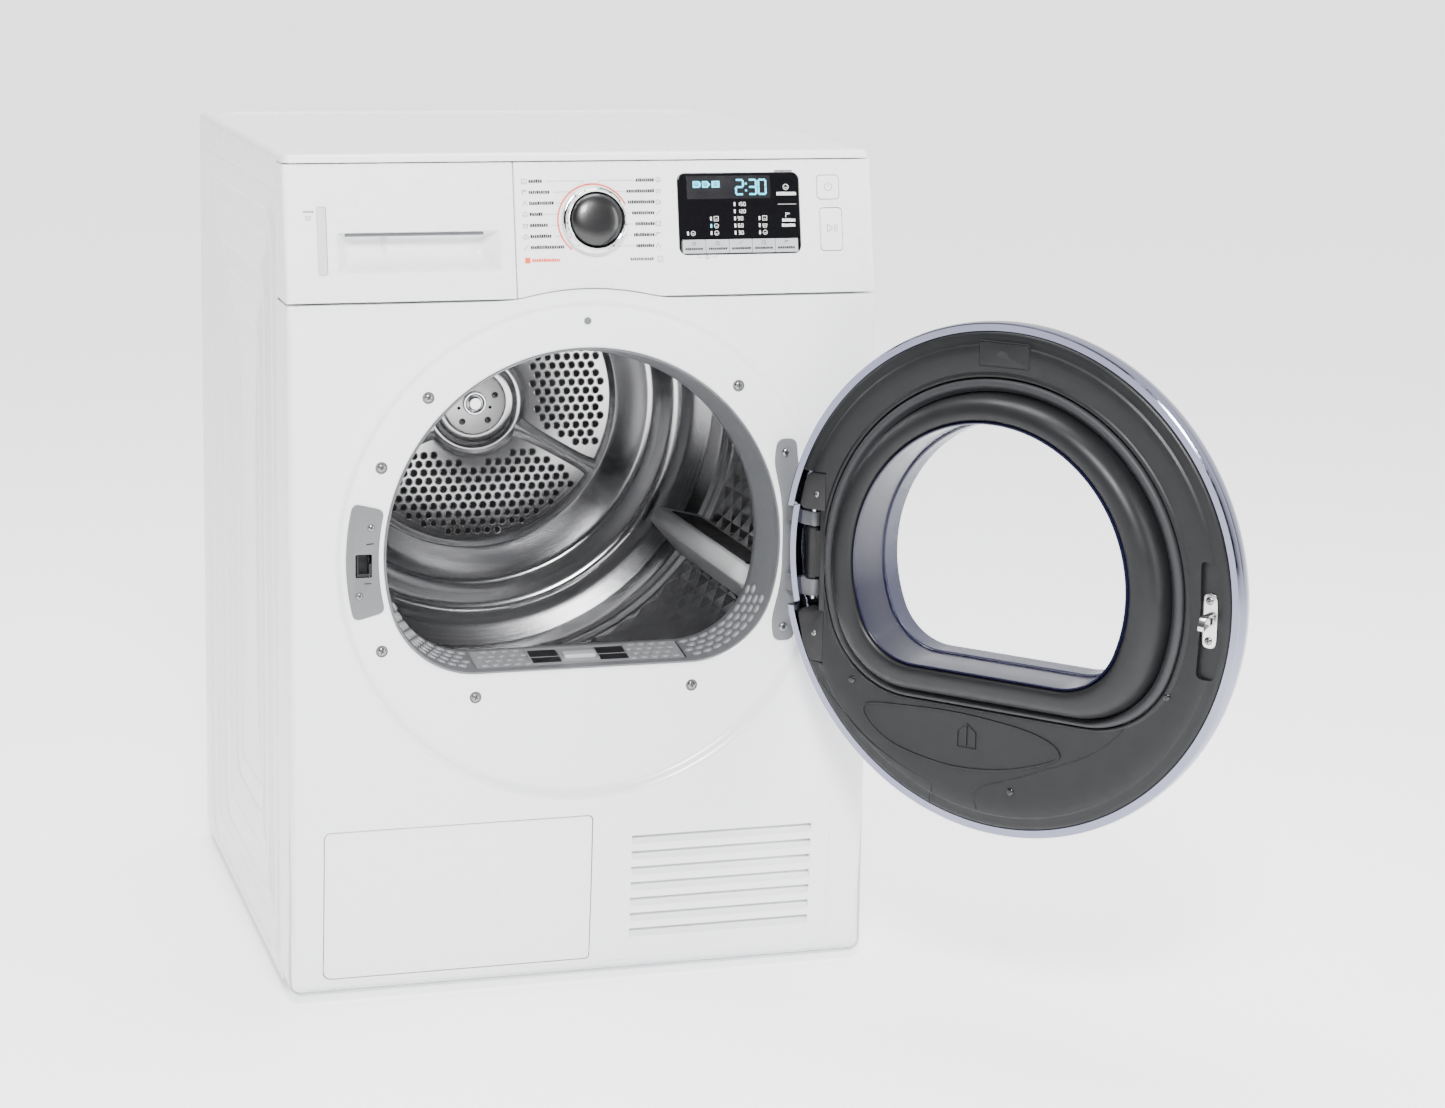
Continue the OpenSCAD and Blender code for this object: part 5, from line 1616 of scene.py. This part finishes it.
radii = [0.02, 20, 40, 60, 80, 100, 120, 140, 160, 180, 195, 205, 211, 213.8]
outer_dome = [(r, dome_y(r, -378.2)) for r in radii] + [(214.4, -377.6)]
inner_dome = [(214.4, -375.8)] + [(r, dome_y(r, -375.2)) for r in radii[::-1]]
door_piece("pane_glass", lathe(outer_dome + inner_dome, 0, SEAT_Z, 160), glass, "window_pane",
           ["door_outer_pane"], 40)
border_front, border_back = [], []
inner_d = by_angle(d_outline(146.5, 93.5, 61.5, OPEN_Z + 8), DOOR_CENTRE, 360)
outer_round = by_angle(circle(213.5, SEAT_Z), DOOR_CENTRE, 360)
for share in np.linspace(0, 1, 9):
    outline = inner_d + (outer_round - inner_d) * share
    r = np.hypot(outline[:, 0], outline[:, 1] - SEAT_Z)
    y = dome_y(r, -375.2)
    border_front.append(np.column_stack([outline[:, 0], y + 0.25, outline[:, 1]]))
    border_back.append(np.column_stack([outline[:, 0], y + 1.1, outline[:, 1]]))
door_piece("pane_border", skin(border_front + border_back[::-1], loop=True), display_black, "black_gloss",
           (), 40)

# %% Bright ring round the door
ring_profile = [(243.9, -331.2), (250.2, -331.1), (251.6, -332.2), (252.5, -335.4), (252.6, -338.6),
                (252.0, -339.6), (251.4, -340.4), (251.9, -341.6), (252.1, -344.4), (251.6, -349.2),
                (249.6, -356),
                (246.4, -362.2), (241.8, -367.8), (236.4, -371.8), (229.4, -374.8), (222.4, -376.6),
                (215.4, -377.8), (214.6, -376.4), (214.9, -375.1), (221.7, -374), (234.7, -369.5),
                (244.2, -360), (246.8, -348), (243.9, -344)]
ring_obj = door_piece("door_ring_polished", lathe(ring_profile, 0, SEAT_Z, 224), ring_metal, "bright_ring",
                      ["door_ring"], 32)
ring_notch = slab([(226, 397), (262, 397), (262, 499), (226, 499)], -346, -320)
cut(ring_obj, [loose("ring_notch", to_door(ring_notch[0]), ring_notch[1])], 32)
print("door body", len(moulding.data.polygons), len(ring_obj.data.polygons))


# %% Cover plate, bead and seams on the moulding
def door_slab(outline, y0, y1):
    verts, faces = slab(outline, y0, y1)
    return verts, faces


cover_plate = door_piece("moulding_cover", door_slab(fillet([(-26, SEAT_Z + 233, 3), (27, SEAT_Z + 233, 3),
                                                            (27, SEAT_Z + 210.5, 2),
                                                            (-26, SEAT_Z + 210.5, 2)]),
                                                     -329.5, -325.2), charcoal, "charcoal_plastic")
add_bevel(cover_plate, 0.5)


def path_strip(points, width, y0, y1, closed=False):
    """A thin raised strip along a smooth path, in the plane of the shut door."""
    points = np.asarray(points, float)
    step = np.roll(points, -1, axis=0) - np.roll(points, 1, axis=0)
    if not closed:
        step[0], step[-1] = points[1] - points[0], points[-1] - points[-2]
    normal = np.column_stack([-step[:, 1], step[:, 0]]) / np.hypot(*step.T)[:, None] * width / 2
    section = []
    for sign_w, y in ((1, y0), (0.55, y1), (-0.55, y1), (-1, y0)):
        flat = points + normal * sign_w
        section.append(np.column_stack([flat[:, 0], np.full(len(flat), y), flat[:, 1]]))
    rings = [np.array([s[i] for s in section]) for i in range(len(points))]
    if closed:
        return skin(rings, loop=True)
    return skin(rings, cap_start=True, cap_end=True)


def smooth_path(points, count=60, closed=False):
    """Catmull-Rom through the points."""
    pts = np.asarray(points, float)
    n = len(pts)
    spans = n if closed else n - 1
    result = []
    for k in range(count):
        t = k / (count if closed else count - 1) * spans
        i = min(int(t), spans - 1)
        f = t - i
        pick = [pts[(i + o) % n] if closed else pts[min(max(i + o, 0), n - 1)] for o in (-1, 0, 1, 2)]
        a, b, c, d = pick
        result.append(0.5 * ((2 * b) + (c - a) * f + (2 * a - 5 * b + 4 * c - d) * f * f
                             + (3 * b - a - 3 * c + d) * f ** 3))
    return np.array(result)


crescent = [(145, -142), (100, -137), (42, -135), (-20, -139), (-55, -146), (-71, -156), (-66, -166),
            (-20, -182), (30, -189), (70, -187), (115, -177), (143, -158)]
bead_path = smooth_path(crescent, 110, True) + (0, SEAT_Z)
bead = path_strip(bead_path, 2.6, -326.6, -324.9, True)
door_piece("moulding_bead", bead, charcoal, "charcoal_plastic", (), 60)
house = [(20, -168), (20, -152), (30, -144), (40, -152), (40, -168)]
house_mark = [path_strip(np.array(house + house[:1]) + (0, SEAT_Z), 1.0, -326.3, -325.2)]
house_mark.append(path_strip(np.array([(30, -146), (30, -166)]) + (0, SEAT_Z), 1.0, -326.3, -325.2))
door_piece("moulding_mark", join_parts(house_mark), charcoal, "charcoal_plastic", (), 60)


def seam(points, count=30):
    return path_strip(smooth_path(points, count) + (0, SEAT_Z), 0.55, -326.2, -325.35)


seams = [seam([(203, -124), (150, -173), (100, -199), (70, -209), (70, -222), (70, -230)]),
         seam([(-163, -84), (-140, -122), (-110, -150), (-75, -168), (-20, -192), (17, -208), (17, -228)])]
plate_edge = fillet([(-27, 234, 3), (28, 234, 3), (28, 209.5, 2), (-27, 209.5, 2)], 4) + (0, SEAT_Z)
seams.append(path_strip(plate_edge, 0.6, -326.6, -325.3, True))
door_piece("moulding_seams", join_parts(seams), hole_dark, "charcoal_plastic", (), 60)
drop = fillet([(-3, SEAT_Z + 224, 2), (4, SEAT_Z + 226, 2), (10, SEAT_Z + 221, 3), (3, SEAT_Z + 219, 2),
               (-6, SEAT_Z + 217.5, 2)])
door_piece("cover_mark", door_slab(drop, -325.6, -324.95), hole_dark, "charcoal_plastic")

# %% Screws, strike and hinge parts on the door
black_screws = [(163, -120), (-183, -84), (-20, -204)]


def door_screws(name, points, y, r, height, steel):
    """Heads face the drum, so they are turned round before the door's own turn."""
    turns = np.array([(0, 0, DOOR_OPEN + math.pi)] * len(points))
    places = to_door([(x, y, z) for x, z in points])
    repeated(name, *screw_head(r, height), places, turns, steel, "door", "black_plastic")
    # Painted shade: the dark cross stands for the shade in each screw's recess.
    repeated(name + "_recess", *cross_recess(r, height), places, turns, hole_dark, "door", "black_plastic")


door_screws("moulding_screws", [(x, SEAT_Z + z) for x, z in black_screws], -326.3, 4.0, 1.9,
            plain_gloss("black_screw", (0.01, 0.01, 0.011), 0.15))
strike_z = 447
plate = door_piece("strike_plate", door_slab(fillet([(-229, strike_z + 26, 6), (-216, strike_z + 26, 6),
                                                    (-214.4, strike_z + 14, 3), (-214.4, strike_z - 14, 3),
                                                    (-216, strike_z - 26, 6), (-229, strike_z - 26, 6),
                                                    (-230, strike_z - 14, 3), (-230, strike_z + 14, 3)]),
                                             -331.4, -329.0), bright_steel, "chrome", ["door_strike"])
add_bevel(plate, 0.5)
door_screws("strike_screws", [(-222, strike_z + 19), (-222, strike_z - 19)], -329.0, 3.9, 1.8, screw_steel)
hook_side = fillet([(-329.6, -4, 1), (-316, -4, 3), (-311.6, -6.2, 1), (-309.4, -6.2, 1), (-309.4, -1, 1.6),
                    (-312, 4, 3), (-317, 7, 3), (-329.6, 7, 1)])
hook = skin([np.column_stack([np.full(len(hook_side), x), hook_side[:, 0], strike_z + hook_side[:, 1]])
             for x in (-226, -220)], cap_start=True, cap_end=True)
pins = skin([np.column_stack([np.full(len(o), x), o[:, 0], strike_z + o[:, 1]]) for x, o in
             ((-219.9, fillet([(-323, -1, 1), (-317, -1, 1), (-317, 5, 1), (-323, 5, 1)])),
              (-228.6, fillet([(-323, -1, 1), (-317, -1, 1), (-317, 5, 1), (-323, 5, 1)])))],
            cap_start=True, cap_end=True)
hook_obj = door_piece("strike_hook", join_parts([hook, pins]), bright_steel, "chrome")
add_bevel(hook_obj, 0.6)

hinge_blocks = [door_slab(fillet([(198.6, 499, 1), (224, 499, 3), (229, 503, 3), (222, 532, 5), (214, 537, 3),
                                  (198.6, 537, 1)]), -346, -326.4),
                door_slab(fillet([(198.6, 345, 1), (214, 345, 3), (222, 362, 5), (229, 392, 3),
                                  (224, 397.5, 3), (198.6, 397.5, 1)]), -346, -326.4),
                door_slab(fillet([(196, 396.4, 1), (204.6, 396.4, 1), (204.6, 500, 1), (196, 500, 1)]), -350,
                          -326.8)]
block_obj = door_piece("hinge_blocks", join_parts(hinge_blocks), black_satin, "black_plastic",
                       ["hinge_block"])
add_bevel(block_obj, 1.0)
knuckle = [np.column_stack([arc(HINGE[0], HINGE[1], r, 0, 360, 33)[:-1], np.full(32, z)])
           for r, z in ((7.4, 423), (8.5, 424.2), (8.5, 474.8), (7.4, 476), (4.4, 476), (4.4, 423))]
arm = door_slab(fillet([(203, 426, 1), (226, 426, 1), (226, 473, 1), (203, 473, 1)]), -361, -349)
make_piece("hinge_knuckle", *skin(knuckle, loop=True), black_satin, "door", "black_plastic")
door_piece("hinge_arm", arm, black_satin, "black_plastic")
door_screws("hinge_block_screws", [(209, 515), (209, 374)], -326.4, 3.2, 1.6, screw_steel)
print("door fittings done")

# %% [markdown]
# ## Finishes of the inner parts
# Parts whose CAD shape is right keep it, and only take a procedural finish.

# %% Finish the carried-over nodes
inner_finishes = {
    "base_pan": black_satin, "levelling_feet": rubber, "rear_panel": zinc, "rear_duct_cover": zinc,
    "control_board": board_green, "front_bulkhead": zinc, "front_shroud": grey_plastic, "drum_felts": felt,
    "rear_bulkhead": zinc, "motor_body": castings, "blower_housing": grey_plastic, "drive_belt": rubber,
    "compressor": castings, "heat_exchangers": fins, "condensate_pump": grey_plastic,
    "exchanger_cover": grey_plastic, "cord_gland": black_satin, "drain_spigot": grey_plastic,
    "motor_shaft": bright_steel, "blower_wheel": black_satin, "idler_arm": black_satin,
    "idler_pulley": black_satin, "left_roller": rubber, "right_roller": rubber, "left_turn_lever": lever_blue,
    "right_turn_lever": lever_blue, "water_tank": tank_white}
for node, material in inner_finishes.items():
    obj = frame["nodes"][node] if isinstance(frame["nodes"], dict) else bpy.data.objects[node]
    if isinstance(obj, str):
        obj = bpy.data.objects[obj]
    if not obj.material_slots:
        obj.data.materials.append(material)
    for slot in obj.material_slots:
        slot.material = material
print("finished", len(inner_finishes), "inner parts")

# %% [markdown]
# ## Floor and light
# A large pale floor, a white world and three soft panels: one from the left for the drum and the door, one
# from the right, and one high above for the top.

# %% Floor
floor_mesh = bpy.data.meshes.new("floor")
floor_mesh.from_pydata([(-30, -30, 0), (30, -30, 0), (30, 30, 0), (-30, 30, 0)], [], [(0, 1, 2, 3)])
floor = bpy.data.objects.new("floor", floor_mesh)
bpy.context.scene.collection.objects.link(floor)
floor_white = grained("floor_white", (0.9, 0.9, 0.905), 0.55, 0.05, 60.0, 0.00002, 0.01)
floor_shader = floor_white.node_tree.nodes["Principled BSDF"]
floor_shader.inputs["Emission Color"].default_value = (1, 1, 1, 1)
floor_shader.inputs["Emission Strength"].default_value = 1.3
floor_mesh.materials.append(floor_white)


# %% Light
def soft_panel(name, at, target, size, power, color=(1, 1, 1)):
    data = bpy.data.lights.new(name, "AREA")
    data.shape = "RECTANGLE"
    data.size, data.size_y = size
    data.energy = power
    data.color = color
    light = bpy.data.objects.new(name, data)
    bpy.context.scene.collection.objects.link(light)
    light.location = at
    light.rotation_euler = (Vector(target) - Vector(at)).to_track_quat("-Z", "Y").to_euler()
    return light


world = bpy.data.worlds.new("studio")
world.use_nodes = True
sky = world.node_tree
background = sky.nodes["Background"]
place = sky.nodes.new("ShaderNodeTexCoord")
split = sky.nodes.new("ShaderNodeSeparateXYZ")
sky.links.new(place.outputs["Generated"], split.inputs["Vector"])
depth = sky.nodes.new("ShaderNodeMapRange")
depth.interpolation_type = "SMOOTHSTEP"
for socket, value in (("From Min", -0.55), ("From Max", 0.1), ("To Min", 0.04), ("To Max", 1.15)):
    depth.inputs[socket].default_value = value
sky.links.new(split.outputs["Y"], depth.inputs["Value"])
side = sky.nodes.new("ShaderNodeMapRange")
side.interpolation_type = "SMOOTHSTEP"
for socket, value in (("From Min", -0.95), ("From Max", 0.0), ("To Min", 0.05), ("To Max", 1.0)):
    side.inputs[socket].default_value = value
sky.links.new(split.outputs["X"], side.inputs["Value"])
both = sky.nodes.new("ShaderNodeMath")
both.operation = "MULTIPLY"
sky.links.new(depth.outputs["Result"], both.inputs[0])
sky.links.new(side.outputs["Result"], both.inputs[1])
tone = sky.nodes.new("ShaderNodeCombineColor")
for channel in ("Red", "Green", "Blue"):
    sky.links.new(both.outputs[0], tone.inputs[channel])
sky.links.new(tone.outputs["Color"], background.inputs["Color"])
background.inputs["Strength"].default_value = 1.7
bpy.context.scene.world = world
soft_panel("key", (-0.7, -3.5, 3.0), (0, 0, 0.4), (1.0, 1.0), 330)
soft_panel("fill", (2.8, -2.6, 1.5), (0.2, -0.2, 0.4), (0.8, 2.4), 70)
soft_panel("above", (0.0, 0.2, 3.6), (0, 0, 0.8), (2.0, 1.6), 120)
